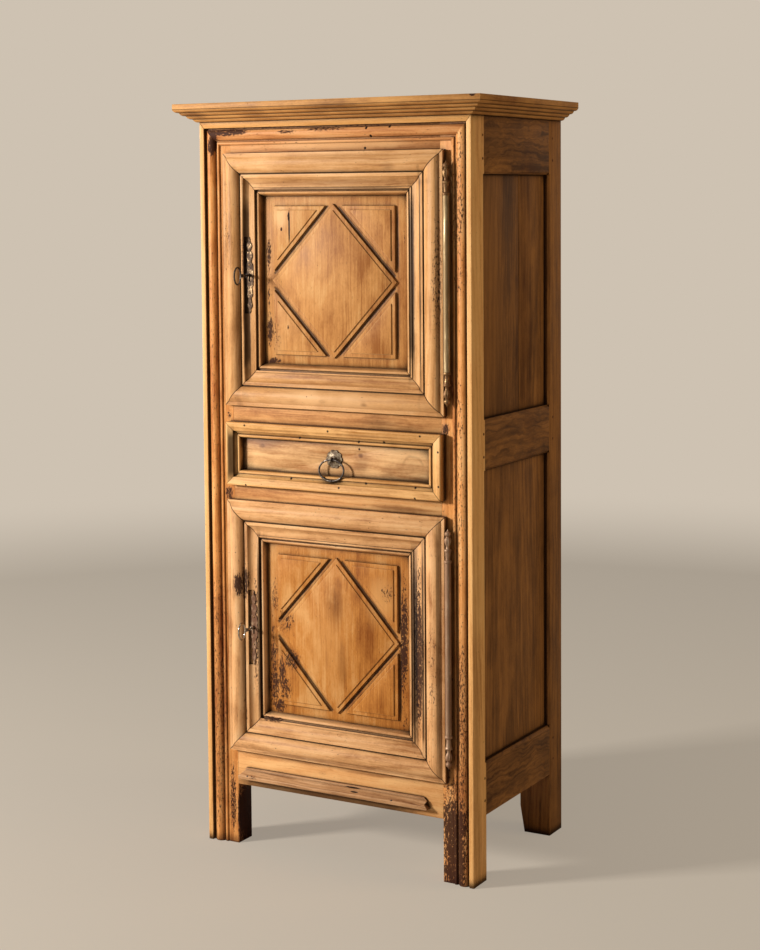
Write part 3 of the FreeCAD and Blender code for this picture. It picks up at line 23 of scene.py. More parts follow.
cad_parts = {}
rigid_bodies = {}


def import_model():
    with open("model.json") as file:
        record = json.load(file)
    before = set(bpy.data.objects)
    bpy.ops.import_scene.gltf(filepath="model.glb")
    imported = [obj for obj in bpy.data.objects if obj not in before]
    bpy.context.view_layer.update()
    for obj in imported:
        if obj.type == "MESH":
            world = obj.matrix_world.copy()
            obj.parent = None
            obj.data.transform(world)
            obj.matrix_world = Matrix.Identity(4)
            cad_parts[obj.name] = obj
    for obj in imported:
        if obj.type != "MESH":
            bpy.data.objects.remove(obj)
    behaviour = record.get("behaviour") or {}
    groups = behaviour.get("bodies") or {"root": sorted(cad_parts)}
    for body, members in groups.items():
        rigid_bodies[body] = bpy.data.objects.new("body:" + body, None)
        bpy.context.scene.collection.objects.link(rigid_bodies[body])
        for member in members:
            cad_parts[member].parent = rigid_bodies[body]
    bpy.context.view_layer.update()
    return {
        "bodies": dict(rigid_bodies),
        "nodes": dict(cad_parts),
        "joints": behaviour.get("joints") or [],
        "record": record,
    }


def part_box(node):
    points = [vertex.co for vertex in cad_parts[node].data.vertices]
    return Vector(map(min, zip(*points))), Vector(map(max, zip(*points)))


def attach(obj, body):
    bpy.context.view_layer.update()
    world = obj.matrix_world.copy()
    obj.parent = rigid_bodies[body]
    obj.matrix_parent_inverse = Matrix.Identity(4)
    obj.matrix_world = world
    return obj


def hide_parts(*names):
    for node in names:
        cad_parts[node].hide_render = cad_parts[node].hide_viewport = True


LOG = logging.getLogger("bonnetiere")
Place = tuple[float, float, float]
Tone = tuple[float, float, float]
Socket = bpy.types.NodeSocket
Sockets = dict[str | int, object]


def light(tone: Tone) -> Tone:
    """Turn a tone as the eye reads it into the linear light that it returns."""
    return tuple(((part / 255 + 0.055) / 1.055) ** 2.4 for part in tone)


# ------------------------------------------------------------------ node trees


class Signal:
    """A number in a node tree, whose operators add the Math nodes that they stand for."""

    def __init__(self, bench: Bench, socket: Socket) -> None:
        """Wrap the output of a bench's tree that carries the number."""
        self.bench, self.socket = bench, socket

    def sum(self, operation: str, *others: Signal | float, first: float | None = None,
            clamp: bool = False) -> Signal:
        """Add one Math node.

        Args:
            operation: The Math node's operation.
            others: What follows this number.
            first: What goes before this number, for reflected forms.
            clamp: Whether the result is held between 0 and 1.

        Returns:
            The node's result.
        """
        values = ([] if first is None else [first]) + [self, *others]
        return self.bench.number("ShaderNodeMath", dict(zip(("Value", "Value_001"), values)),
                                 operation=operation, use_clamp=clamp)

    def __add__(self, other: Signal | float) -> Signal:
        """Return the sum."""
        return self.sum("ADD", other)

    __radd__ = __add__

    def __sub__(self, other: Signal | float) -> Signal:
        """Return the difference."""
        return self.sum("SUBTRACT", other)

    def __rsub__(self, other: float) -> Signal:
        """Return a number less this one."""
        return self.sum("SUBTRACT", first=other)

    def __mul__(self, other: Signal | float) -> Signal:
        """Return the product."""
        return self.sum("MULTIPLY", other)

    __rmul__ = __mul__

    def __pow__(self, other: float) -> Signal:
        """Return the power."""
        return self.sum("POWER", other)

    def __abs__(self) -> Signal:
        """Return the size without its sign."""
        return self.sum("ABSOLUTE")

    def held(self) -> Signal:
        """Hold the number between 0 and 1."""
        return self.sum("ADD", 0.0, clamp=True)

    def larger(self, other: Signal | float) -> Signal:
        """Return the larger of two numbers."""
        return self.sum("MAXIMUM", other)

    def rise(self, low: float, high: float) -> Signal:
        """Rise softly from 0 to 1.

        Args:
            low: Where the rise starts; the result falls instead where this is the larger.
            high: Where it ends.

        Returns:
            The eased number.
        """
        falls = low > high
        span = {"From Min": min(low, high), "From Max": max(low, high)}
        return self.bench.number(
            "ShaderNodeMapRange", {"Value": self, **span, "To Min": float(falls), "To Max": float(not falls)},
            "Result", interpolation_type="SMOOTHSTEP")


class Bench:
    """A node tree and the few ways in which nodes are laid in it."""

    def __init__(self, tree: bpy.types.NodeTree) -> None:
        """Clear a tree for new nodes."""
        self.tree = tree
        tree.nodes.clear()

    def add(self, kind: str, sockets: Sockets | None = None, **settings: object) -> bpy.types.Node:
        """Lay one node.

        Args:
            kind: The node's type.
            sockets: Values or links for its inputs, by identifier, name or place.
            settings: Its own settings, set first; "stops" are a ramp's places and tones.

        Returns:
            The new node.
        """
        node = self.tree.nodes.new(kind)
        for name, value in settings.items():
            if name != "stops":
                setattr(node, name, value)
                continue
            elements = node.color_ramp.elements
            while len(elements) < len(value):
                elements.new(1.0)
            for element, (place, tone) in zip(elements, value):
                element.position, element.color = place, (*light(tone), 1.0)
        known = {socket.identifier: socket for socket in node.inputs}
        for name, value in (sockets or {}).items():
            target = known.get(name) or node.inputs[name]
            source = value.socket if isinstance(value, Signal) else value
            if isinstance(source, Socket):
                self.tree.links.new(source, target)
            else:
                target.default_value = (*light(source), 1.0) if target.type == "RGBA" else source
        return node

    def out(self, kind: str, sockets: Sockets | None = None, output: str | int = 0,
            **settings: object) -> Socket:
        """Lay one node and return one of its outputs."""
        return self.add(kind, sockets, **settings).outputs[output]

    def number(self, kind: str, sockets: Sockets | None = None, output: str | int = 0,
               **settings: object) -> Signal:
        """Lay one node and return one of its outputs as a number."""
        return Signal(self, self.out(kind, sockets, output, **settings))

    def vector(self, operation: str, first: Socket, second: Socket | Place) -> Socket:
        """Lay one Vector Math node and return its vector."""
        return self.out("ShaderNodeVectorMath", {"Vector": first, "Vector_001": second}, operation=operation)

    def scaled(self, vector: Socket, by: Place, moved: Place = (0, 0, 0)) -> Socket:
        """Take a place from a vector, then stretch it on each axis."""
        return self.vector("MULTIPLY", self.vector("SUBTRACT", vector, moved), by)

    def length(self, vector: Socket) -> Signal:
        """Return a vector's length."""
        return self.number("ShaderNodeVectorMath", {"Vector": vector}, "Value", operation="LENGTH")

    def noise(self, vector: Socket, by: Place, detail: float = 3.0, roughness: float = 0.55,
              distortion: float = 0.0) -> Signal:
        """Lay a noise that is stretched along the grain.

        Args:
            vector: The place that it is read at.
            by: How many features fit in a metre on each axis.
            detail: Its octaves.
            roughness: How much the fine octaves count.
            distortion: How far it is bent.

        Returns:
            The noise, about 0.5.
        """
        return self.number("ShaderNodeTexNoise", {
            "Vector": self.scaled(vector, by), "Scale": 1.0, "Detail": detail, "Roughness": roughness,
            "Distortion": distortion}, noise_dimensions="3D")

    def blend(self, factor: Signal | float, first: object, second: object, mode: str = "MIX") -> Socket:
        """Lay the second colour over the first, as far as the factor says."""
        return self.out("ShaderNodeMix", {"Factor_Float": factor, "A_Color": first, "B_Color": second}, 2,
                        data_type="RGBA", blend_type=mode, clamp_factor=True)

    def surface(self, height: Signal, strength: float, distance: float, sockets: Sockets) -> None:
        """Close a material with its shader and its relief.

        Args:
            height: The relief.
            strength: How strong the relief is.
            distance: How high it stands.
            sockets: The shader's other inputs.
        """
        relief = self.out("ShaderNodeBump", {"Strength": strength, "Distance": distance, "Height": height})
        shader = self.out("ShaderNodeBsdfPrincipled", {**sockets, "Normal": relief})
        self.add("ShaderNodeOutputMaterial", {"Surface": shader})


def new_material(name: str) -> tuple[bpy.types.Material, Bench]:
    """Start an empty material.

    Args:
        name: Its name.

    Returns:
        The material and the bench for its nodes.
    """
    material = bpy.data.materials.new(name)
    material.use_nodes = True
    return material, Bench(material.node_tree)


# ------------------------------------------------------------------ marks


class MarkKind(Enum):
    """What age has left on a board, and the painted shade of grooves and of some lines and stains."""

    RESIDUE = "old dark paint"
    STAIN = "a dark cloud in the wax"
    KNOT = "a knot"
    RING = "the ring of a wet cup"
    HOLE = "a nail hole"
    CRACK = "an open shake"
    # A groove mark paints shade into a moulding's flute, cove or quirk, with some old wax.
    SHADED_GROOVE = "a groove full of old wax"
    RUBBED = "rubbed pale"
    SLANT = "a slanting dark line, whose reach points across it and holds its length"


RESIDUE, STAIN, KNOT, RING, HOLE, CRACK, SHADED_GROOVE, RUBBED, SLANT = MarkKind
CLOUDS = (STAIN, KNOT, RING)


@dataclass(frozen=True)
class Edge:
    """How a round mark fades: what makes it uneven, where it starts and is full, and its share."""

    patchy: float = 0.0
    blotch: float = 0.0
    streak: float = 0.0
    outer: float = 1.15
    inner: float = 0.3
    share: float = 1.0


EDGES = {
    RESIDUE: Edge(patchy=1.2, outer=1.1, inner=0.35),
    STAIN: Edge(blotch=0.9, streak=1.5, outer=1.2, inner=0.1, share=0.6),
    HOLE: Edge(inner=0.75),
    CRACK: Edge(streak=1.8, outer=1.1, inner=0.7),
    RUBBED: Edge(blotch=1.6)}


@dataclass(frozen=True)
class Texture:
    """What a timber's marks are drawn with: the place, its depth, and noises about 0."""

    place: Socket
    depth: Signal
    patchy: Signal
    blotch: Signal
    streak: Signal


@dataclass(frozen=True)
class Mark:
    """One mark: its kind, middle and half sizes in metres."""

    kind: MarkKind
    middle: Place
    reach: Place
    strength: float = 1.0

    def cover(self, bench: Bench, texture: Texture) -> Signal:
        """Lay the mark.

        Args:
            bench: The bench of the timber's material.
            texture: The timber's texture.

        Returns:
            How much of the mark shows, 0 to its strength.
        """
        place, blotch = texture.place, texture.blotch
        if self.kind is SLANT:
            flat = bench.scaled(place, (1, 0, 1), self.middle)
            across = bench.number("ShaderNodeVectorMath", {"Vector": flat, "Vector_001": self.reach}, "Value",
                                  operation="DOT_PRODUCT")
            part = (abs(across) + blotch * 1.6).rise(1.0, 0.45) * self.strength
            part = part * bench.length(flat).rise(self.reach[1] * 1.05, self.reach[1])
            return part * texture.depth.rise(self.middle[1] + 0.002, self.middle[1])
        inside = bench.scaled(place, tuple(1 / size for size in self.reach), self.middle)
        if self.kind is SHADED_GROOVE:
            sides = bench.add("ShaderNodeSeparateXYZ", {"Vector": inside}).outputs
            widest = reduce(Signal.larger, [abs(Signal(bench, side)) for side in sides])
            return (widest + blotch * 0.7).rise(1.15, 0.6) * self.strength
        near = bench.length(inside)
        if self.kind in (RING, KNOT):
            near = near + blotch * 0.9
            if self.kind is RING:
                return abs(near - 0.85).rise(0.2, 0.02) * (0.45 * self.strength)
            eye = ((near * 9).sum("SINE") * 0.25 + 0.6) * near.rise(1.6, 0.3)
            return (near.rise(0.5, 0.15) * 0.55 + eye * 0.5) * (0.85 * self.strength)
        edge = EDGES[self.kind]
        for noise, bend in ((texture.patchy, edge.patchy), (blotch, edge.blotch),
                            (texture.streak, edge.streak)):
            near = near + noise * bend if bend else near
        return near.rise(edge.outer, edge.inner) * (edge.share * self.strength)


def marks(kind: MarkKind, *rows: tuple[float, ...]) -> tuple[Mark, ...]:
    """Describe marks of one kind on the cabinet's front.

    Args:
        kind: What they are.
        rows: Each one's x, height above the floor, half width and half height, and where they are not the
            usual ones its strength, how far forward it is and half its depth.

    Returns:
        The marks.
    """
    def one(x: float, z: float, wide: float, tall: float, strength: float = 1.0, front: float = -222,
            deep: float = 30) -> Mark:
        """Describe one mark."""
        return Mark(kind, (x / 1000, front / 1000, z / 1000), (wide / 1000, deep / 1000, tall / 1000),
                    strength)

    return tuple(one(*row) for row in rows)


def slant(x: float, z: float, way: tuple[float, float], half: float, length: float, strength: float,
          front: float = 0.0) -> Mark:
    """Describe a slanting dark line.

    Args:
        x: Its middle across.
        z: Its middle above the floor.
        way: The way across it, one long.
        half: Half its width.
        length: How far it runs from its middle.
        strength: How dark it is.
        front: How far forward it starts.

    Returns:
        The mark.
    """
    across, rise = (1000 * part / half for part in way)
    return Mark(SLANT, (x / 1000, front / 1000, z / 1000), (across, length / 1000, rise), strength)


def frame_marks(side: float, low: float, high: float, strength: float, *flutes: tuple[float, float, float],
                gap: float = 1.1, length: float = 170) -> tuple[Mark, ...]:
    """Describe a moulding frame's open mitres, and the painted shade in the flutes that run up between them.

    Args:
        side: Half the frame's width.
        low: Its lower edge above the floor.
        high: Its upper edge.
        strength: How dark the mitres are.
        flutes: Each flute's x, half width, and how dark the shade painted into it is.
        gap: Half the width of a mitre's line.
        length: How far the line runs from its corner.

    Returns:
        The marks.
    """
    middle, half, lean = (low + high) / 2, (high - low) / 2, math.sqrt(0.5)
    mitres = tuple(slant(x, z, (lean, math.copysign(lean, x * (middle - z))), gap, length, strength)
                   for x in (-side, side) for z in (low, high))
    return mitres + marks(SHADED_GROOVE, *((x, middle, wide, (half - side + abs(x)) * 1.06, dark)
                                    for x, wide, dark in flutes))


def relief_shadow_and_wax(middle: float, tall: float, strength: float) -> tuple[Mark, ...]:
    """Describe painted shadow and old wax in a panel's ground, to the right of its lozenge and its triangles,
    where their relief casts shadow.

    Args:
        middle: The lozenge's middle above the floor.
        tall: Half the lozenge's height.
        strength: How dark the painted shadow and the wax are.

    Returns:
        The marks.
    """
    ground, half, gap, wide, corner = -204, 4.2, 12, 181, 176
    edge, out = math.hypot(wide, tall), 0.8 * half
    lines = []
    for side, away in ((-1, gap - out), (1, out)):
        for up in (-1, 1):
            across, rise = side * tall / edge, up * wide / edge
            lines.append(slant(side * wide / 2 + across * away, middle + up * tall / 2 + rise * away,
                               (across, rise), half, edge / 2 - 1.5 * gap, strength, ground))
    uprights = ((corner + out, middle + up * 0.545 * tall, half, 0.42 * tall, strength, ground, 6)
                for up in (-1, 1))
    return (*lines, *marks(SHADED_GROOVE, *uprights))


# ------------------------------------------------------------------ finishes


@dataclass(frozen=True)
class Finish:
    """A finish: its material's name and a slot of the record, which is not used here."""

    name: str
    slot: str

    def material(self) -> bpy.types.Material:
        """Return the finish's material, made once.

        Returns:
            The material.
        """
        material = bpy.data.materials.get(self.name)
        if material is None:
            material, bench = new_material(self.name)
            self.lay(bench)
        return material

    def lay(self, bench: Bench) -> None:
        """Lay the finish's nodes."""
        raise NotImplementedError


@dataclass(frozen=True)
class WoodFinish(Finish):
    """Waxed timber: its tones, its figure, its dirt and the shade painted into its corners and seams, and its
    wear.
    """

    pale: Tone
    middle: Tone
    dark: Tone
    # The tone of dirt and of the shade painted into corners and seams.
    grime_and_shade: Tone = (34, 17, 6)
    old_paint: Tone = (46, 21, 15)
    old_wash: Tone = (122, 64, 32)
    # The tone of stains, knots and rings, and of the painted shade under the base moulding.
    old_wax_and_shade: Tone = (84, 38, 6)
    # The tone of nail and worm holes, open shakes, mitres, and lines of painted shade.
    hole_and_shade_tone: Tone = (24, 11, 5)
    figure: float = 1.0
    streaks: float = 1.0
    wave: float = 0.012
    rings: float = 0.8
    ring_pitch: float = 0.010
    blotches: float = 1.0
    pores: float = 0.35
    # How far corners, and the seams between parts, are darkened by dirt and painted shade.
    soiling_and_shade: float = 0.9
    seam_dirt_and_shade: float = 0.85
    residue: float = 0.12
    worm: float = 0.6
    wear: float = 0.5
    sheen: tuple[float, float] = (0.38, 0.6)
    gloss: float = 0.14
    corner_reach: float = 0.034
    seam_reach: float = 0.008
    relief: tuple[float, float] = (0.55, 0.0008)
    softening: float = 0.0009
    marks: tuple[Mark, ...] = ()

    def lay(self, bench: Bench) -> None:
        """Lay the timber's figure, then its marks, dirt and painted shade, old paint, worn edges, worm holes
        and relief.

        Args:
            bench: The bench of its material.
        """
        grain = bench.out("ShaderNodeAttribute", output="Vector", attribute_name="grain")
        board, worn = (bench.number("ShaderNodeAttribute", output="Fac", attribute_name=name)
                       for name in ("board", "worn"))
        place = bench.out("ShaderNodeTexCoord", output="Object")
        shelter, seam = (1 - bench.number("ShaderNodeAmbientOcclusion", {"Distance": far}, "AO", samples=8)
                         for far in (self.corner_reach, self.seam_reach))
        bend = (bench.noise(grain, (7, 15, 15)) - 0.5) * self.wave
        grain = bench.vector("ADD", grain, bench.out("ShaderNodeCombineXYZ", {"Y": bend, "Z": bend}))

        broad = bench.noise(grain, (1.5, 10, 10), distortion=0.6)
        streak = bench.noise(grain, (2.6, 80, 80), 4, 0.6)
        fine = bench.noise(grain, (7, 260, 260), 3, 0.65)
        fibre = bench.noise(grain, (16, 620, 620), 2)
        blotch = bench.noise(grain, (9, 17, 17), 4, 0.6, 0.3)
        mottle = bench.noise(grain, (150, 330, 330), 3, 0.6)
        patchy = bench.noise(place, (7, 7, 5))
        heart = bench.length(bench.scaled(grain, (0.035, 1, 1)))
        bands = heart * (2 * math.pi / self.ring_pitch) + broad * 16 + streak * 2.2
        ring = (bands.sum("SINE") * 0.5 + 0.5) ** 2.0
        value = (0.5 + (broad - 0.5) * (0.8 * self.figure) + (streak - 0.5) * (0.6 * self.streaks)
                 - (ring - 0.4) * (0.15 * self.rings) + (blotch - 0.5) * (0.75 * self.blotches)
                 + (fine - 0.5) * (0.55 * self.streaks) + (mottle - 0.5) * 0.3 + (board - 0.5) * 0.22)
        colour = bench.out("ShaderNodeValToRGB", {"Fac": value},
                           stops=((0.12, self.dark), (0.5, self.middle), (0.84, self.pale)))
        pore = fibre.rise(0.58, 0.72) * (self.pores * 0.8)
        colour = bench.blend(pore, colour, self.dark, "MULTIPLY")

        depth = bench.number("ShaderNodeSeparateXYZ", {"Vector": place}, "Y")
        texture = Texture(place, depth, patchy - 0.5, blotch - 0.5, streak - 0.5)
        amount = (patchy - 0.35) * (2.2 * self.residue)
        clouds, holes_and_shade_lines = [], []
        for mark in self.marks:
            part = mark.cover(bench, texture)
            if mark.kind is RESIDUE:
                amount = amount.larger(part)
            elif mark.kind is RUBBED:
                colour = bench.blend(part, colour, self.pale)
            else:
                (clouds if mark.kind in CLOUDS else holes_and_shade_lines).append(part)
        if clouds:
            # Stains, knots and rings take the wax tone; the long stain under the base moulding is painted
            # shade.
            colour = bench.blend(reduce(Signal.larger, clouds).held(), colour, self.old_wax_and_shade)

        # Painted shade and dirt: ambient occlusion darkens corners, recesses and the seams between parts
        # towards the grime tone.
        cloudy = (shelter * 1.6 * (blotch - 0.38)).larger(0.0)
        soil_and_shade = (shelter.rise(0.16, 0.50) + cloudy).held() * self.soiling_and_shade
        soil_and_shade = soil_and_shade.larger(seam.rise(0.16, 0.40) * self.seam_dirt_and_shade)
        colour = bench.blend(soil_and_shade, colour, self.grime_and_shade)
        colour = bench.blend(amount.held() * (mottle * 0.5 + 0.1), colour, self.old_wash)
        paint = bench.noise(grain, (120, 270, 270), 5, 0.68, 0.4)
        painted = (paint + amount * 0.36).rise(0.655, 0.72) * 0.93
        colour = bench.blend(painted, colour, self.old_paint)
        rub = worn * (streak + patchy).rise(0.75, 1.05) * shelter.rise(0.6, 0.2) * self.wear
        colour = bench.blend(rub, colour, self.pale)

        cells, specks = (bench.number("ShaderNodeTexVoronoi", {"Vector": place, "Scale": scale}, "Distance",
                                      voronoi_dimensions="3D") for scale in (38.0, 105.0))
        holes_and_shade_lines.append(cells.rise(0.062, 0.044) * patchy.rise(0.42, 0.56) * self.worm)
        holes_and_shade_lines.append(specks.rise(0.09, 0.06) * blotch.rise(0.58, 0.68) * self.worm)
        # Holes, shakes and mitres, and the painted shade of groove marks and of the slanting lines by the
        # lozenges, all take the hole tone.
        holes_and_shade = reduce(Signal.larger, holes_and_shade_lines)
        colour = bench.blend(holes_and_shade, colour, self.hole_and_shade_tone)

        dents = bench.noise(place, (34, 34, 34), 3, 0.6)
        height = (streak * 0.3 + fibre * (0.25 * self.pores + 0.1) + dents * 0.7 + painted * 0.25
                  - holes_and_shade * 1.6 - pore * 0.3)
        low, high = self.sheen
        rough = (blotch * (high - low) + low + painted * 0.22 + soil_and_shade * 0.12).held()
        bench.surface(height, *self.relief, {
            "Base Color": colour, "Roughness": rough, "Specular IOR Level": self.gloss})


@dataclass(frozen=True)
class MetalFinish(Finish):
    """Old brass or iron: the clean metal, what has grown on it and how it is worn."""

    bright: Tone
    body: Tone
    patina: Tone
    dirt: Tone = (38, 26, 20)
    coverage: float = 0.5
    roughness: tuple[float, float] = (0.28, 0.6)
    pitting: float = 0.4
    crust: float = 0.2
    corner_reach: float = 0.008
    relief: tuple[float, float] = (0.5, 0.0005)
    grain: Place = (60, 60, 60)

    def lay(self, bench: Bench) -> None:
        """Lay the metal, its patina, the crust on it and its relief.

        Args:
            bench: The bench of its material.
        """
        place = bench.out("ShaderNodeTexCoord", output="Object")
        shelter = 1 - bench.number("ShaderNodeAmbientOcclusion", {"Distance": self.corner_reach}, "AO",
                                   samples=6)
        cloud = bench.noise(place, self.grain, 4, 0.6, 0.4)
        speck = bench.noise(place, tuple(6 * part for part in self.grain), 3, 0.7)
        patina = (cloud + (speck - 0.5) * 0.5 + shelter * 0.5 + (self.coverage - 1)).rise(-0.12, 0.22)
        colour = bench.blend(cloud.rise(0.35, 0.7), self.bright, self.body)
        colour = bench.blend(patina * 0.85, colour, self.patina)
        crusted = (speck + shelter * 0.35 + (self.crust - 0.5) * 0.6).rise(0.58, 0.72)
        colour = bench.blend(crusted * 0.8, colour, self.dirt)
        low, high = self.roughness
        rough = (patina * (high - low) + low + crusted * 0.2).held()
        metal = (1 - crusted * 0.75 - patina * 0.45).held()
        bench.surface(cloud * 0.3 + speck * self.pitting - crusted * 0.2, *self.relief, {
            "Base Color": colour, "Roughness": rough, "Metallic": metal})


POST_WOOD = WoodFinish(
    "waxed_post_wood", "case_wood", (244, 186, 120), (226, 154, 84), (164, 90, 36), old_wash=(158, 102, 80),
    residue=0.26, worm=0.9, blotches=1.3, streaks=1.3, soiling_and_shade=0.6,
    marks=marks(RESIDUE, (-354, 1815, 16, 30, 0.9), (353, 1650, 30, 280, 0.44), (356, 360, 22, 400, 0.48),
                (334, 90, 60, 230, 0.92), (350, 980, 25, 350, 0.34), (312, 450, 20, 360, 0.75),
                (-317, 1125, 12, 19, 0.6), (-319, 923, 13, 19, 0.7), (-356, 400, 35, 520, 0.34),
                (-356, 1250, 20, 450, 0.22), (-318, 120, 14, 130, 0.66), (313, 1121, 14, 20, 0.7),
                (-302, 70, 6, 120, 1.0, -170, 70))
    + marks(STAIN, (345, 420, 50, 420, 0.45), (-352, 330, 35, 400, 0.45), (-302, 70, 6, 140, 1.6, -170, 90)))
TOP_RAIL_WOOD = WoodFinish(
    "waxed_top_rail_wood", "case_wood", (230, 174, 118), (214, 148, 90), (162, 96, 50), residue=0.22,
    streaks=1.4, blotches=0.8, worm=0.5, soiling_and_shade=0.35,
    marks=marks(RESIDUE, (-295, 1850, 75, 12, 0.82), (-131, 1848, 50, 9, 0.72), (-360, 1840, 30, 20, 0.9),
                (-20, 1853, 90, 8, 0.6), (100, 1858, 140, 5, 0.5), (-200, 1861, 140, 5, 0.7))
    + marks(STAIN, (20, 1826, 340, 4, 0.5)) + marks(RUBBED, (0, 1812, 360, 13))
    + marks(HOLE, *((x, z, 3.5, 3.5) for x, z in ((102, 1852), (167, 1854), (114, 1832), (95, 1803)))))
RAIL_WOOD = WoodFinish(
    "waxed_rail_wood", "case_wood", (232, 180, 120), (218, 158, 98), (164, 106, 58), residue=0.06,
    worm=0.3, blotches=1.2, soiling_and_shade=0.25,
    # The two long dark bands at 246 and 243 mm run along the rail just below the lower door.
    marks=marks(STAIN, (135, 1125, 75, 22, 1.2), (205, 1118, 50, 12, 0.8), (185, 918, 120, 12),
                (-121, 246, 220, 12, 0.9), (120, 243, 200, 11, 0.8))
    # The groove at 166 mm is painted shade on the rail under the base moulding.
    + marks(KNOT, (-45, 222, 11, 5, 0.8)) + marks(SHADED_GROOVE, (-30, 166, 290, 14, 0.8)))
STRIP_WOOD = WoodFinish(
    "waxed_strip_wood", "moulding_wood", (246, 196, 130), (232, 174, 108), (178, 116, 58), residue=0.0,
    worm=0.3, figure=0.7, blotches=0.6, wear=0.3, softening=0.0012,
    marks=marks(STAIN, (390, 300, 4, 600, 0.5, -205)))
FRIEZE_WOOD = replace(
    STRIP_WOOD, name="waxed_frieze_wood", pale=(224, 168, 102), middle=(206, 146, 79), dark=(158, 98, 46),
    residue=0.05)
CORNICE_WOOD = WoodFinish(
    "waxed_cornice_wood", "moulding_wood", (226, 172, 104), (200, 144, 82), (138, 88, 44), residue=0.03,
    streaks=0.7, figure=0.7, rings=0.3, soiling_and_shade=1.0, worm=0.3,
    marks=marks(RESIDUE, (420, 1923, 12, 8, 1.0, -270))
    + marks(STAIN, (30, 1905, 90, 16, 0.9, -250, 60), (-380, 1895, 30, 14, 0.8, -250, 50))
    + marks(KNOT, (235, 1903, 13, 6, 0.9, -250, 50), (-280, 1903, 12, 5, 0.7, -250, 50))
    # The four lines between the reeds are painted shade in their quirks.
    + marks(SHADED_GROOVE, *((0, z, 3000, 1.3, 0.6, 0, 3000) for z in (1908.8, 1900.8, 1892.8, 1884.8))))
UPPER_MOULDING_WOOD = WoodFinish(
    "waxed_upper_moulding_wood", "moulding_wood", (232, 182, 128), (212, 157, 100), (156, 102, 56),
    residue=0.1, worm=0.8,
    marks=marks(RESIDUE, (-300, 1620, 20, 200, 0.36), (-255, 1520, 10, 100, 0.5), (302, 1500, 16, 260, 0.42))
    # The long dark bands at 1720, 1748 and 1775 mm run across the top moulding, and the one at x -272 mm runs
    # down its left side.
    + marks(STAIN, (-272, 1300, 12, 240, 0.8), (-275, 1740, 12, 50, 0.9), (100, 1176, 12, 8, 1.1),
            (0, 1748, 220, 7, 0.7), (170, 1757, 30, 20, 0.9), (0, 1775, 340, 30, 0.45),
            (0, 1720, 340, 10, 0.8))
    + marks(KNOT, (-20, 1176, 10, 5, 0.8)) + marks(RUBBED, (0, 1180, 320, 35, 0.9))
    # A line of painted shade across the top moulding's ogee.
    + marks(SHADED_GROOVE, (0, 1706.5, 215, 2.2, 0.6))
    + frame_marks(316, 1153, 1796, 0.95, (-248.5, 8.5, 0.85), (-203.5, 8.5, 0.8), (227, 9, 0.85),
                  (253.5, 3.6, 0.85), (304, 5, 0.4)))
LOWER_MOULDING_WOOD = WoodFinish(
    "waxed_lower_moulding_wood", "moulding_wood", (236, 190, 138), (220, 166, 112), (160, 106, 60),
    residue=0.16, worm=0.9, blotches=1.3,
    marks=marks(RESIDUE, (-280, 692, 20, 60, 1.25), (-262, 700, 18, 70, 0.8), (243, 546, 22, 260, 0.78),
                (286, 500, 20, 300, 0.42), (-235, 560, 12, 250, 0.5), (-190, 346, 50, 12, 0.7))
    # The long dark bands at 258 mm run along the door's bottom edge, and the one at x -270 mm runs down its
    # left side.
    + marks(STAIN, (-280, 690, 24, 60, 1.4), (-270, 500, 14, 260, 0.7), (-100, 258, 240, 7, 1.1),
            (160, 258, 200, 7))
    + marks(KNOT, (20, 885, 8, 5, 0.8))
    + frame_marks(316, 252, 908, 0.95, (-224.5, 5.5, 0.8), (-203.5, 6.5, 0.8), (229.5, 9, 0.85),
                  (257, 2.8, 0.85), (301, 4, 0.5)))
DRAWER_MOULDING_WOOD = WoodFinish(
    "waxed_drawer_moulding_wood", "moulding_wood", (243, 196, 134), (228, 174, 110), (176, 118, 60),
    residue=0.0, worm=0.0, figure=0.8, blotches=0.9,
    marks=marks(STAIN, (80, 1096, 160, 4, 0.8), (-160, 1096, 120, 3, 0.7))
    # The groove at x -296.5 mm is painted shade on the left inner slope, which faces away from the key light.
    + marks(KNOT, (-73, 1089, 12, 6), (-174, 968, 12, 6)) + marks(SHADED_GROOVE, (-296.5, 1029, 10, 70, 0.85))
    + marks(HOLE, *((x, z, 3.2, 3.2) for x, z in (
        (-253, 1104), (-5, 1102), (-93, 1080), (-251, 951), (25, 962), (256, 1104), (79, 1079), (98, 977),
        (241, 951), (305, 1068), (306, 984), (237, 976), (-120, 975), (150, 1082))))
    + frame_marks(312, 948, 1110, 0.8, gap=0.8, length=85))
DRAWER_WOOD = WoodFinish(
    "waxed_drawer_wood", "moulding_wood", (236, 192, 138), (223, 174, 120), (172, 118, 70), residue=0.0,
    worm=0.2, figure=1.1, blotches=1.2,
    marks=marks(STAIN, (-200, 1055, 40, 20, 0.5), (80, 1020, 30, 25, 0.7), (220, 1010, 80, 40, 0.4),
                (238, 992, 34, 16), (155, 1000, 30, 30, 0.5))
    + marks(KNOT, (-216, 1050, 24, 16, 0.8), (75, 1043, 17, 15, 0.9))
    + marks(RING, (224, 1026, 34, 32, 0.55)) + marks(HOLE, (72, 1059, 3, 3)))
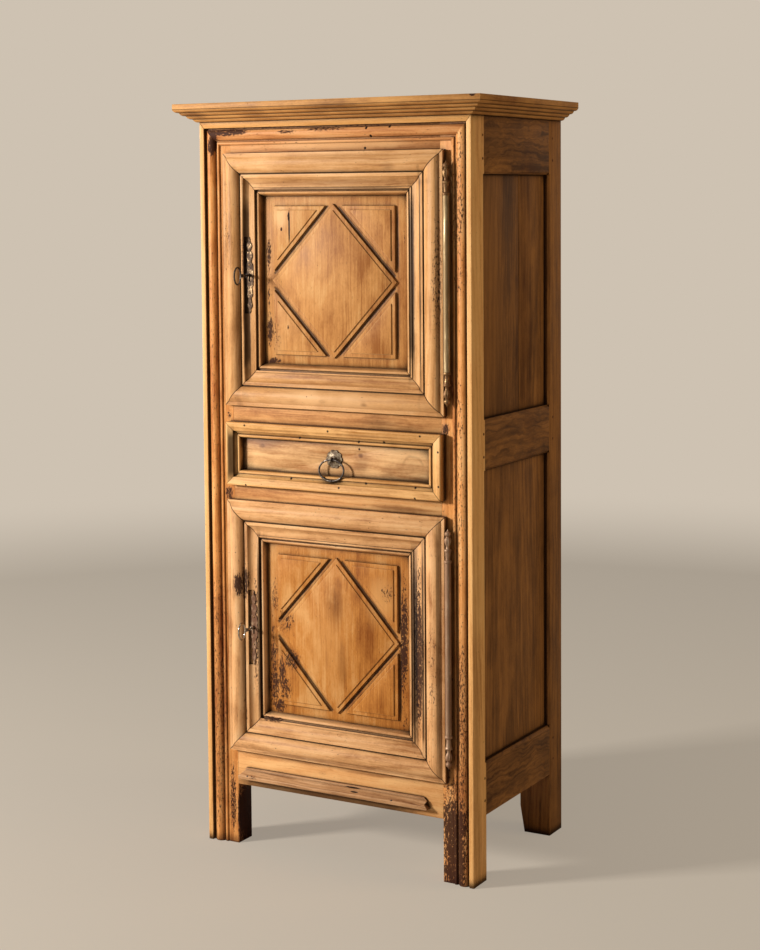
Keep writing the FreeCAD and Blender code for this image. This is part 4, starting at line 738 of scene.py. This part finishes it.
UPPER_PANEL_WOOD = WoodFinish(
    "waxed_upper_panel_wood", "panel_wood", (219, 170, 110), (199, 140, 78), (152, 93, 42), residue=0.04,
    worm=0.4, blotches=1.5, rings=0.3, softening=0.0006,
    marks=marks(RESIDUE, (-194, 1541, 12, 65, 1.1), (-192, 1345, 16, 65, 1.2), (-178, 1270, 40, 14, 1.1),
                (-175, 1340, 30, 90, 0.42), (-190, 1450, 14, 60, 0.5), (-140, 1420, 25, 30, 0.38),
                (199, 1577, 6, 28), (-128, 1636, 4, 14, 1.3), (-150, 1604, 4, 6, 1.2),
                (-133, 1356, 3, 7, 1.3), (-195, 1440, 9, 170, 0.85))
    + marks(STAIN, (160, 1490, 20, 60, 0.5)) + marks(CRACK, (-127, 1612, 2.4, 44, 1.0, -213.5))
    + marks(RUBBED, (-165, 1310, 30, 50, 0.35), (-160, 1640, 40, 50, 0.9))
    + relief_shadow_and_wax(1474.5, 193.5, 0.72))
LOWER_PANEL_WOOD = WoodFinish(
    "waxed_lower_panel_wood", "panel_wood", (210, 154, 92), (188, 122, 54), (138, 76, 25), residue=0.08,
    worm=0.5, blotches=1.7, figure=1.3, rings=0.3, softening=0.0006,
    marks=marks(RESIDUE, (-192, 470, 26, 210, 1.05), (-152, 430, 30, 50, 0.62), (-134, 504, 34, 40, 0.62),
                (-170, 355, 60, 12, 0.85), (-188, 660, 20, 100, 0.72), (190, 560, 22, 280, 0.95),
                (-155, 600, 40, 40, 0.5), (150, 700, 30, 30, 0.4), (-180, 380, 35, 35),
                (-194, 550, 10, 150, 1.1), (-165, 470, 20, 70, 0.75))
    + marks(STAIN, (0, 660, 35, 70, 0.9), (20, 500, 20, 80, 0.6), (-195, 500, 16, 200, 0.75))
    + marks(RUBBED, (-20, 540, 70, 120, 0.3), (130, 680, 50, 70, 0.7))
    + relief_shadow_and_wax(580, 200, 0.78))
SIDE_WOOD = WoodFinish(
    "waxed_side_wood", "case_wood", (164, 112, 62), (131, 88, 49), (84, 54, 30), residue=0.03, streaks=1.3,
    rings=1.0, blotches=1.1, worm=0.4, softening=0.001,
    # The side is made darker towards the back and paler towards the front, over its upper part.
    marks=marks(STAIN, (380, 1450, 50, 500, 0.5, 100, 50))
    + marks(RUBBED, (380, 1450, 50, 420, 0.4, -100, 90)))
SIDE_RAIL_WOOD = replace(
    SIDE_WOOD, name="waxed_side_rail_wood", wave=0.05, figure=1.5, blotches=1.5, rings=1.4)
BACK_WOOD = WoodFinish(
    "dry_back_wood", "inner_wood", (186, 148, 104), (156, 116, 76), (98, 68, 42), residue=0.03,
    streaks=1.4, rings=1.5, soiling_and_shade=0.7, pores=0.6, sheen=(0.62, 0.85))
INNER_WOOD = WoodFinish(
    "dry_inner_wood", "inner_wood", (204, 166, 118), (180, 138, 92), (126, 90, 54), residue=0.0,
    streaks=1.2, rings=1.2, soiling_and_shade=0.6, pores=0.5, worm=0.2, sheen=(0.6, 0.82))
PEG_WOOD = WoodFinish(
    "dark_peg_wood", "case_wood", (128, 84, 48), (104, 64, 34), (70, 42, 22), residue=0.0, worm=0.0)
BASE_MOULDING_WOOD = WoodFinish(
    "bare_base_moulding_wood", "moulding_wood", (206, 162, 120), (178, 132, 90), (122, 78, 46),
    residue=0.08, streaks=1.8, rings=1.2, blotches=0.9, pores=0.6, worm=0.3,
    # The long dark band at 178 mm is painted shade on the moulding's underside.
    marks=marks(RESIDUE, (-245, 186, 20, 8, 0.7)) + marks(STAIN, (-20, 178, 270, 3, 0.9))
    + marks(CRACK, (48, 201, 26, 2.2, 1.0, -232.5), (56, 193, 12, 1.6, 1.0, -232.5)))

AGED_BRASS = MetalFinish(
    "aged_brass_bar", "aged_brass", (226, 206, 164), (176, 152, 108), (140, 112, 76), coverage=0.66,
    roughness=(0.34, 0.6), pitting=0.25, crust=0.05, grain=(70, 70, 9))
TURNED_BRASS = MetalFinish(
    "aged_brass_turning", "aged_brass", (206, 168, 116), (156, 118, 74), (104, 70, 40), coverage=0.7,
    roughness=(0.3, 0.52), pitting=0.3, crust=0.14, grain=(110, 110, 80))
PLATE_BRASS = MetalFinish(
    "tarnished_plate", "aged_brass", (166, 138, 104), (98, 70, 46), (52, 32, 20), coverage=0.66,
    roughness=(0.36, 0.62), pitting=0.8, crust=0.3, grain=(90, 90, 60))
HINGE_IRON = MetalFinish(
    "worn_hinge_iron", "hinge_iron", (206, 182, 154), (164, 132, 104), (142, 106, 80), coverage=0.72,
    roughness=(0.3, 0.6), pitting=0.5, crust=0.15, grain=(80, 80, 14))
PLATE_IRON = MetalFinish(
    "rusty_plate", "aged_brass", (196, 164, 134), (140, 98, 68), (96, 60, 38), coverage=0.7,
    roughness=(0.36, 0.6), pitting=0.8, grain=(90, 90, 60))
DARK_IRON = MetalFinish(
    "dark_forged_iron", "dark_iron", (136, 126, 116), (72, 62, 56), (44, 34, 30), coverage=0.62,
    roughness=(0.26, 0.55), pitting=0.5, grain=(140, 140, 140))
WORN_SILVER = MetalFinish(
    "worn_silvered_rosette", "aged_brass", (172, 158, 134), (122, 104, 80), (72, 52, 36), coverage=0.62,
    roughness=(0.3, 0.55), grain=(120, 120, 120))
KEY_STEEL = MetalFinish(
    "rubbed_key_steel", "dark_iron", (206, 198, 186), (140, 130, 120), (70, 58, 48), coverage=0.42,
    roughness=(0.2, 0.45), crust=0.1, grain=(140, 140, 140))
LOCK_IRON = MetalFinish(
    "dull_lock_iron", "dark_iron", (110, 104, 98), (70, 64, 60), (52, 38, 30), coverage=0.6,
    roughness=(0.4, 0.7), pitting=0.6, crust=0.25)

# ------------------------------------------------------------------ making pieces

SAME_POINT = 2e-6
GRAIN_SHIFT = ((-9, 9), (0.02, 0.14), (0.02, 0.12))
# Angles between faces: under ONE_FACE they are joined, over FLAT they are shaded as a curve, over CURVED
# they meet in an arris, and over CREASE the shading breaks.
ONE_FACE, FLAT, CURVED, CREASE = (math.radians(angle) for angle in (0.5, 0.6, 27, 50))


def clean_copy(node: bpy.types.Object) -> bmesh.types.BMesh:
    """Copy a node's loose triangles, joined solid by solid.

    A solid is done when no edge of it waits for its other face, so boards that touch stay apart.

    Args:
        node: The node.

    Returns:
        The joined mesh.
    """
    shape = bmesh.new()
    points = [tuple(vertex.co) for vertex in node.data.vertices]
    made: dict[Place, bmesh.types.BMVert] = {}
    waiting: set[tuple[Place, Place]] = set()
    for face in node.data.polygons:
        corners = [points[index] for index in face.vertices]
        if len(set(corners)) < 3:
            continue
        for corner in corners:
            if corner not in made:
                made[corner] = shape.verts.new(corner)
        shape.faces.new([made[corner] for corner in corners])
        for edge in zip(corners, corners[1:] + corners[:1]):
            if edge[::-1] in waiting:
                waiting.remove(edge[::-1])
            else:
                waiting.add(edge)
        if not waiting:
            bmesh.ops.remove_doubles(shape, verts=list(made.values()), dist=SAME_POINT)
            made = {}
    if waiting:
        LOG.warning("%s: %d edges wait for a face", node.name, len(waiting))
    return shape


def placed(name: str, data: bpy.types.ID) -> bpy.types.Object:
    """Put a new object in the scene.

    Args:
        name: Its name.
        data: Its mesh, light or camera.

    Returns:
        The object.
    """
    item = bpy.data.objects.new(name, data)
    bpy.context.scene.collection.objects.link(item)
    return item


def finished(shape: bmesh.types.BMesh, name: str, finish: Finish, body: str, *replaced: str) -> None:
    """Turn a shape into a dressed piece that rides on its body.

    Args:
        shape: The shape, which is freed.
        name: The piece's name.
        finish: Its finish.
        body: The body that it moves with.
        replaced: The nodes that it stands for.
    """
    mesh = bpy.data.meshes.new(name)
    bmesh.ops.triangulate(shape, faces=[face for face in shape.faces if len(face.verts) > 4])
    shape.to_mesh(mesh)
    shape.free()
    mesh.set_sharp_from_angle(angle=CREASE)
    mesh.materials.append(finish.material())
    piece = placed(name, mesh)
    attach(piece, body)
    if replaced:
        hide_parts(*replaced)
    LOG.info("%s on %s: %d faces, %s", piece.name, body, len(mesh.polygons), finish.name)


def grain_boards(shape: bmesh.types.BMesh, seed: str) -> None:
    """Give every board in a shape its own run of grain.

    Args:
        shape: The boards.
        seed: What their differences are drawn from.
    """
    grain = shape.verts.layers.float_vector.new("grain")
    board = shape.verts.layers.float.new("board")
    dice = random.Random(seed)
    shape.verts.index_update()
    seen: set[int] = set()
    for start in shape.verts:
        if start.index in seen:
            continue
        seen.add(start.index)
        island = [start]
        for vertex in island:
            for edge in vertex.link_edges:
                other = edge.other_vert(vertex)
                if other.index not in seen:
                    seen.add(other.index)
                    island.append(other)
        low, high = ([pick(vertex.co[axis] for vertex in island) for axis in range(3)] for pick in (min, max))
        order = sorted(range(3), key=lambda axis: low[axis] - high[axis])
        middle = [(a + b) / 2 for a, b in zip(low, high)]
        shift = [dice.uniform(*span) for span in GRAIN_SHIFT]
        tint = dice.random()
        for vertex in island:
            vertex[grain] = [vertex.co[axis] - middle[axis] + move for axis, move in zip(order, shift)]
            vertex[board] = tint


def soften(shape: bmesh.types.BMesh, width: float) -> None:
    """Round a shape's arrises as wear and wax do, and note them as worn.

    Args:
        shape: The shape.
        width: How far the rounding reaches from an arris.
    """
    bmesh.ops.dissolve_limit(shape, angle_limit=ONE_FACE, verts=shape.verts, edges=shape.edges)
    bends = {edge: edge.calc_face_angle(0.0) for edge in shape.edges if len(edge.link_faces) == 2}
    for face in shape.faces:
        face.smooth = any(FLAT < bends.get(edge, 0.0) < CURVED for edge in face.edges)
    arrises = [edge for edge, bend in bends.items() if bend > CURVED]
    worn = shape.faces.layers.float.new("worn")
    if arrises and width > 0:
        rounded = bmesh.ops.bevel(shape, geom=arrises, offset=width, offset_type="OFFSET", segments=2,
                                  profile=0.5, affect="EDGES", clamp_overlap=True, loop_slide=True)
        for face in rounded["faces"]:
            face[worn] = 1.0
            face.smooth = True


@dataclass
class Assembly:
    """A sub-assembly: it dresses the frame's nodes."""

    frame: dict[str, object]

    def dress(self, finish: Finish, body: str, *nodes: str) -> None:
        """Dress nodes: wood gets softened arrises and its own grain, and metal is shaded round.

        Args:
            finish: Their finish.
            body: Their body.
            nodes: The nodes.
        """
        wooden = isinstance(finish, WoodFinish)
        for node in nodes:
            shape = clean_copy(self.frame["nodes"][node])
            if wooden:
                soften(shape, finish.softening)
                grain_boards(shape, node)
            else:
                for face in shape.faces:
                    face.smooth = True
            finished(shape, f"{node}_wood" if wooden else f"{node}_metal", finish, body, node)

    def kept(self, finish: Finish, *nodes: str) -> None:
        """Keep nodes as they are and give them their finish.

        Args:
            finish: Their finish.
            nodes: The nodes.
        """
        for node in nodes:
            materials = self.frame["nodes"][node].data.materials
            materials.clear()
            materials.append(finish.material())
            LOG.info("%s kept, %s", node, finish.name)


# ------------------------------------------------------------------ fasteners


@dataclass(frozen=True)
class HeadTree:
    """The node tree that sets a head on every point of a piece: a nail's dome or a peg's end."""

    name: str
    sides: int
    rings: int

    def tree(self) -> bpy.types.NodeTree:
        """Lay the tree, once.

        Returns:
            The tree.
        """
        tree = bpy.data.node_groups.get(self.name)
        if tree:
            return tree
        tree = bpy.data.node_groups.new(self.name, "GeometryNodeTree")
        for way, kind, name in (
                ("INPUT", "Geometry", "Geometry"), ("INPUT", "Float", "Head Radius"),
                ("INPUT", "Float", "Head Height"), ("INPUT", "Float", "Unevenness"),
                ("INPUT", "Material", "Finish"), ("OUTPUT", "Geometry", "Geometry")):
            tree.interface.new_socket(name, in_out=way, socket_type=f"NodeSocket{kind}")
        bench = Bench(tree)
        given = bench.add("NodeGroupInput").outputs
        radius, height = given["Head Radius"], given["Head Height"]
        dome = bench.out("GeometryNodeMeshUVSphere", {
            "Segments": self.sides, "Rings": self.rings, "Radius": 1.0}, "Mesh")
        size = bench.out("ShaderNodeCombineXYZ", {"X": radius, "Y": radius, "Z": height})
        head = bench.out("GeometryNodeTransform", {"Geometry": dome, "Scale": size})
        facing = bench.out("GeometryNodeInputNamedAttribute", {"Name": "facing"}, "Attribute",
                           data_type="FLOAT_VECTOR")
        aimed = bench.out("FunctionNodeAlignRotationToVector", {"Vector": facing}, axis="Z")
        least = 1.0 - Signal(bench, given["Unevenness"])
        uneven = bench.out("FunctionNodeRandomValue", {"Min_001": least, "Max_001": 1.0, "Seed": 7}, 1,
                           data_type="FLOAT")
        heads = bench.out("GeometryNodeInstanceOnPoints", {
            "Points": given["Geometry"], "Instance": head, "Rotation": aimed, "Scale": uneven})
        real = bench.out("GeometryNodeRealizeInstances", {"Geometry": heads})
        dressed = bench.out("GeometryNodeSetMaterial", {"Geometry": real, "Material": given["Finish"]})
        bench.add("NodeGroupOutput", {"Geometry": dressed})
        return tree

    def heads(self, name: str, places: Sequence[tuple[Place, Place]], radius: float, height: float,
              finish: Finish, body: str, unevenness: float = 0.15) -> None:
        """Set heads at given places, as one plain piece.

        Args:
            name: The piece's name.
            places: Each head's place and the way it faces.
            radius: A head's radius.
            height: How far it stands out.
            finish: Its finish.
            body: Its body.
            unevenness: How much smaller the smallest is.
        """
        points = bpy.data.meshes.new(f"{name}_points")
        points.from_pydata([place for place, _ in places], [], [])
        facing = points.attributes.new("facing", "FLOAT_VECTOR", "POINT")
        for item, (_, way) in zip(facing.data, places):
            item.vector = way
        seat = placed(f"{name}_points", points)
        modifier = seat.modifiers.new("heads", "NODES")
        modifier.node_group = self.tree()
        given = {"Head Radius": radius, "Head Height": height, "Unevenness": unevenness,
                 "Finish": finish.material()}
        for item in modifier.node_group.interface.items_tree:
            if item.item_type == "SOCKET" and item.in_out == "INPUT" and item.name in given:
                modifier[item.identifier] = given[item.name]
        bpy.context.view_layer.update()
        evaluated = seat.evaluated_get(bpy.context.evaluated_depsgraph_get())
        shape = bmesh.new()
        shape.from_mesh(bpy.data.meshes.new_from_object(evaluated))
        bpy.data.objects.remove(seat)
        for part in shape.faces:
            part.smooth = True
        if isinstance(finish, WoodFinish):
            shape.faces.layers.float.new("worn")
            grain_boards(shape, name)
        finished(shape, name, finish, body)


NAILS = HeadTree("nail_heads", 10, 6)
PEGS = HeadTree("peg_ends", 9, 5)
FRONT: Place = (0.0, -1.0, 0.0)

# ------------------------------------------------------------------ sub-assemblies


@dataclass
class Carcass(Assembly):
    """The case: posts, rails, side panels, back, floors, shelves and what the drawer runs on."""

    body: str = "carcass"
    peg_radius: float = 0.0038
    peg_height: float = 0.0008
    peg_spread: float = 0.028
    peg_depths: tuple[float, float] = (-0.160, 0.243)
    side_rail_middles: tuple[float, ...] = (1.802, 1.080, 0.230)
    nail_radius: float = 0.0028
    nail_height: float = 0.0012
    nail_places: tuple[tuple[float, float], ...] = (
        (-0.262, -0.004), (-0.115, -0.008), (0.165, -0.003), (0.232, -0.006))

    def make(self) -> None:
        """Dress the case's nodes and set its pegs and nails."""
        plan = {
            POST_WOOD: ("front_left_post", "front_right_post"),
            TOP_RAIL_WOOD: ("front_top_rail",),
            RAIL_WOOD: ("front_drawer_top_rail", "front_drawer_bottom_rail", "front_bottom_rail"),
            STRIP_WOOD: ("corner_strips",),
            FRIEZE_WOOD: ("frieze_strip",),
            SIDE_WOOD: ("back_left_post", "back_right_post", "left_side_panels", "right_side_panels"),
            SIDE_RAIL_WOOD: ("left_side_rails", "right_side_rails"),
            BACK_WOOD: ("back_rails", "back_planks", "top_boards"),
            INNER_WOOD: ("floor_board", "upper_deck", "upper_shelf", "lower_shelf", "board_cleats",
                         "drawer_runners", "drawer_guides"),
            CORNICE_WOOD: ("cornice_front", "cornice_sides"),
            BASE_MOULDING_WOOD: ("base_moulding",),
        }
        for finish, nodes in plan.items():
            self.dress(finish, self.body, *nodes)
        self.nails()
        self.pegs()

    def pegs(self) -> None:
        """Set the ends of the pegs that hold the side rails' tenons."""
        low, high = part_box("corner_strips")
        places = [((face, deep, middle + rise), (math.copysign(1.0, face), 0.0, 0.0))
                  for face in (low[0], high[0]) for deep in self.peg_depths
                  for middle in self.side_rail_middles for rise in (-self.peg_spread, self.peg_spread)]
        PEGS.heads("side_rail_pegs", places, self.peg_radius, self.peg_height, PEG_WOOD, self.body)

    def nails(self) -> None:
        """Set the nails that hold the base moulding."""
        low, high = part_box("base_moulding")
        middle = (low[2] + high[2]) / 2
        places = [((x, low[1] + self.nail_height, middle + rise), FRONT) for x, rise in self.nail_places]
        NAILS.heads("base_moulding_nails", places, self.nail_radius, self.nail_height, DARK_IRON, self.body)


@dataclass
class LongHinge(Assembly):
    """A long pin hinge: its barrels and the turned finials at its ends.

    A finial's steps are a radius and a height as shares of its own, and its ribbed stretches are a middle,
    half a length and a depth.
    """

    door: str
    barrel: MetalFinish
    turned: MetalFinish
    pin_radius: float = 0.004
    ring_radius: float = 0.0097
    rib_count: int = 8
    ribbed: tuple[Place, ...] = ((0.635, 0.13, 0.17), (0.22, 0.12, 0.06))
    around: int = 48
    steps: tuple[tuple[float, float], ...] = (
        (0.90, 0.0), (1.0, 0.018), (1.0, 0.06), (0.90, 0.078), (0.62, 0.095), (0.60, 0.12), (0.66, 0.2),
        (0.76, 0.31), (0.80, 0.335), (0.90, 0.352), (0.96, 0.376), (0.90, 0.40), (0.62, 0.415), (0.52, 0.43),
        (0.50, 0.50), (0.60, 0.52), (0.76, 0.56), (0.88, 0.61), (0.92, 0.66), (0.84, 0.71), (0.62, 0.745),
        (0.50, 0.757), (0.46, 0.775), (0.62, 0.795), (0.78, 0.825), (0.82, 0.85), (0.76, 0.88),
        (0.58, 0.91), (0.34, 0.93), (0.19, 0.945), (0.12, 0.975), (0.0, 1.0))

    def make(self) -> None:
        """Dress the barrels and turn the finials."""
        self.dress(self.barrel, "carcass", f"{self.door}_hinge_post_knuckle")
        self.dress(self.barrel, f"{self.door}_door", f"{self.door}_hinge_door_knuckles")
        low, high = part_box(f"{self.door}_hinge_pin")
        foot_low, foot_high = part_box(f"{self.door}_hinge_lower_finial")
        axis = ((low[0] + high[0]) / 2, (low[1] + high[1]) / 2)
        tall = foot_high[2] - foot_low[2]
        seat = high[2] - tall
        start = (0.0, foot_high[2])
        stem = [start, (self.pin_radius, foot_high[2]), (self.pin_radius, seat)]
        self.finial(f"{self.door}_hinge_pin", stem, axis, seat, tall)
        self.finial(f"{self.door}_hinge_lower_finial", [start], axis, foot_high[2], -tall)

    def ribs(self, share: float) -> float:
        """Say how deep the ribs are cut.

        Args:
            share: How far up the finial.

        Returns:
            The cut, as a share of the radius.
        """
        return sum(deep * math.sqrt(max(0.0, 1 - abs(share - middle) / half))
                   for middle, half, deep in self.ribbed)

    def finial(self, node: str, stem: list[tuple[float, float]], axis: tuple[float, float], seat: float,
               tall: float) -> None:
        """Turn one finial on the lathe, ribbed round its vase and its neck.

        Args:
            node: The node that it stands for.
            stem: The steps before it, each a radius and a height.
            axis: The hinge's axis.
            seat: The height that it stands on.
            tall: Its height, less than nothing where it hangs.
        """
        shape = bmesh.new()
        rings: list[list[bmesh.types.BMVert]] = []
        profile = stem + [(across * self.ring_radius, seat + up * tall) for across, up in self.steps]
        for radius, height in profile:
            cut = self.ribs((height - seat) / tall)
            rings.append([])
            for step in range(self.around if radius else 1):
                angle = 2 * math.pi * step / self.around
                reach = radius * (1 - cut * (0.5 - 0.5 * math.cos(self.rib_count * angle)))
                rings[-1].append(shape.verts.new((axis[0] + reach * math.cos(angle),
                                                  axis[1] + reach * math.sin(angle), height)))
        for lower, upper in zip(rings, rings[1:]):
            for step in range(self.around):
                after = (step + 1) % self.around
                corners = [lower[step % len(lower)], lower[after % len(lower)],
                           upper[after % len(upper)], upper[step % len(upper)]]
                corners = list(dict.fromkeys(corners))
                if len(corners) > 2:
                    shape.faces.new(corners).smooth = True
        bmesh.ops.recalc_face_normals(shape, faces=shape.faces)
        finished(shape, f"{node}_turned", self.turned, f"{self.door}_door", node)


@dataclass
class Lock(Assembly):
    """A rim lock with its bolt, key, escutcheon and the escutcheon's nails."""

    door: str
    plate: MetalFinish
    key: MetalFinish
    nail_places: tuple[float, ...] = (0.0265, -0.0445)
    nail_sink: float = 0.0002
    nail_radius: float = 0.0030
    nail_height: float = 0.0016

    def make(self) -> None:
        """Dress the lock's nodes and set the nails."""
        body = f"{self.door}_door"
        self.dress(self.plate, body, f"{self.door}_escutcheon")
        self.dress(self.key, f"{self.door}_key", f"{self.door}_key")
        self.kept(LOCK_IRON, f"{self.door}_lock_case", f"{self.door}_lock_bolt")
        low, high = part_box(f"{self.door}_escutcheon")
        x, middle = (low[0] + high[0]) / 2, (low[2] + high[2]) / 2
        places = [((x, low[1] + self.nail_sink, middle + rise), FRONT) for rise in self.nail_places]
        NAILS.heads(f"{self.door}_escutcheon_nails", places, self.nail_radius, self.nail_height,
                    TURNED_BRASS, body)


@dataclass
class Door(Assembly):
    """A door: its frame, its carved panel, its moulding, its hinge and its lock."""

    door: str = "upper"
    panel_finish: WoodFinish = UPPER_PANEL_WOOD
    moulding_finish: WoodFinish = UPPER_MOULDING_WOOD
    hinge_finish: MetalFinish = AGED_BRASS
    finial_finish: MetalFinish = TURNED_BRASS
    plate_finish: MetalFinish = PLATE_BRASS
    key_finish: MetalFinish = DARK_IRON

    def make(self) -> None:
        """Dress the door and all that rides on it."""
        body = f"{self.door}_door"
        self.dress(INNER_WOOD, body, f"{body}_stiles", f"{body}_rails")
        self.dress(self.panel_finish, body, f"{body}_panel")
        self.dress(self.moulding_finish, body, f"{body}_moulding")
        LongHinge(self.frame, self.door, self.hinge_finish, self.finial_finish).make()
        Lock(self.frame, self.door, self.plate_finish, self.key_finish).make()


@dataclass
class Drawer(Assembly):
    """The drawer: its box, its front and moulding, and its drop ring on a rosette."""

    body: str = "drawer"
    ring_wire: float = 0.0023
    ring_bead: tuple[float, float] = (0.0038, 0.0052)

    def make(self) -> None:
        """Dress the drawer and its pull."""
        self.dress(DRAWER_WOOD, self.body, "drawer_front")
        self.dress(DRAWER_MOULDING_WOOD, self.body, "drawer_moulding_frame")
        self.dress(INNER_WOOD, self.body, "drawer_sides", "drawer_back", "drawer_bottom_board")
        self.dress(WORN_SILVER, self.body, "drawer_rosette")
        self.dress(DARK_IRON, self.body, "drawer_staple")
        self.dress(DARK_IRON, "ring", "drawer_ring")
        low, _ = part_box("drawer_ring")
        foot = (0.0, low[1] + self.ring_wire, low[2] + self.ring_wire)
        NAILS.heads("drawer_ring_bead", [(foot, (1.0, 0.0, 0.0))], *self.ring_bead, DARK_IRON, "ring", 0.0)


# ------------------------------------------------------------------ studio


@dataclass(frozen=True)
class Lamp:
    """A square soft light: its place, what it points at, its side, its watts and its linear colour."""

    name: str
    place: Place
    aim: Place
    size: float
    power: float
    colour: Place
    glossy: bool = True

    def hang(self) -> None:
        """Hang the light."""
        lamp = bpy.data.lights.new(self.name, "AREA")
        lamp.shape, lamp.size, lamp.energy, lamp.color = "SQUARE", self.size, self.power, self.colour
        holder = placed(self.name, lamp)
        holder.location = self.place
        holder.rotation_euler = (Vector(self.aim) - Vector(self.place)).to_track_quat("-Z", "Y").to_euler()
        holder.visible_camera, holder.visible_glossy = False, self.glossy


@dataclass(frozen=True)
class Studio:
    """A pale floor, a soft key from the left, weak top and side lights and the camera."""

    floor_tone: Tone = (204, 194, 180)
    worn_floor_tone: Tone = (186, 174, 158)
    wall_tone: Tone = (206, 194, 178)
    air_tone: Tone = (250, 236, 214)
    floor_radius: float = 30.0
    fade: tuple[float, float] = (1.6, 6.0)
    ambient: float = 0.11
    shine: float = 0.34
    lamps: tuple[Lamp, ...] = (
        Lamp("key_light", (-4.03, -4.09, 2.50), (0, -0.2, 1.0), 0.9, 455.0, (1.0, 0.97, 0.92)),
        Lamp("top_light", (0.6, -1.6, 4.6), (0, 0, 0.6), 2.4, 8.0, (1.0, 0.98, 0.95)),
        Lamp("side_light", (3.6, 1.1, 2.1), (0.39, 0.1, 1.2), 2.0, 34.0, (1.0, 0.80, 0.50), False))
    camera_place: Place = (2.449, -4.294, 1.686)
    yaw: float = 29.574
    pitch: float = 4.08
    roll: float = 0.428
    lens: float = 72.6
    sensor: float = 36.0
    shift: float = -0.15
    sight: float = 100.0

    def make(self) -> None:
        """Set up the floor, the lights, the world and the camera."""
        self.floor()
        self.world()
        for lamp in self.lamps:
            lamp.hang()
        self.camera()

    def floor(self) -> None:
        """Lay a wide pale floor that melts into the background."""
        shape = bmesh.new()
        bmesh.ops.create_circle(shape, cap_ends=True, radius=self.floor_radius, segments=96)
        mesh = bpy.data.meshes.new("studio_floor")
        shape.to_mesh(mesh)
        shape.free()
        floor = placed("studio_floor", mesh)
        material, bench = new_material("pale_studio_floor")
        place = bench.out("ShaderNodeTexCoord", output="Object")
        drift = bench.noise(place, (1.2, 1.2, 1.2))
        colour = bench.blend(drift * 0.12, self.floor_tone, self.worn_floor_tone)
        lit = bench.out("ShaderNodeBsdfPrincipled", {
            "Base Color": colour, "Roughness": 0.85, "Specular IOR Level": 0.2})
        glow = bench.out("ShaderNodeEmission", {"Color": self.wall_tone, "Strength": 1.0})
        seen = bench.number("ShaderNodeLightPath", output="Is Camera Ray")
        share = (bench.length(place).rise(*self.fade) * seen).larger(seen * 0.5)
        surface = bench.out("ShaderNodeMixShader", {"Fac": share, 1: lit, 2: glow})
        bench.add("ShaderNodeOutputMaterial", {"Surface": surface})
        mesh.materials.append(material)

    def world(self) -> None:
        """Light the air evenly and show the camera a plain pale wall."""
        world = bpy.data.worlds.new("studio_air")
        bpy.context.scene.world = world
        world.use_nodes = True
        bench = Bench(world.node_tree)
        rays = bench.add("ShaderNodeLightPath").outputs
        strength = Signal(bench, rays["Is Glossy Ray"]) * (self.shine - self.ambient) + self.ambient
        soft = bench.out("ShaderNodeBackground", {"Color": self.air_tone, "Strength": strength})
        wall = bench.out("ShaderNodeBackground", {"Color": self.wall_tone, "Strength": 1.0})
        surface = bench.out("ShaderNodeMixShader", {"Fac": rays["Is Camera Ray"], 1: soft, 2: wall})
        bench.add("ShaderNodeOutputWorld", {"Surface": surface})

    def camera(self) -> None:
        """Place the camera."""
        data = bpy.data.cameras.new("studio_camera")
        data.lens, data.sensor_width, data.shift_y = self.lens, self.sensor, self.shift
        data.clip_end = self.sight
        holder = placed("studio_camera", data)
        holder.location = self.camera_place
        turn, tilt, bank = (Matrix.Rotation(math.radians(angle), 4, axis) for angle, axis in (
            (self.yaw, "Z"), (90 - self.pitch, "X"), (-self.roll, "Z")))
        holder.rotation_euler = (turn @ tilt @ bank).to_euler()
        bpy.context.scene.camera = holder


def main() -> None:
    """Build the studio and the cabinet's classes in order."""
    logging.basicConfig(level=logging.INFO, format="%(name)s: %(message)s", force=True)
    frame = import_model()
    bpy.context.scene.view_settings.view_transform = "Standard"
    Studio().make()
    Carcass(frame).make()
    Door(frame, "upper").make()
    Door(frame, "lower", LOWER_PANEL_WOOD, LOWER_MOULDING_WOOD, HINGE_IRON, HINGE_IRON, PLATE_IRON,
         KEY_STEEL).make()
    Drawer(frame).make()


if __name__ == "__main__":
    main()
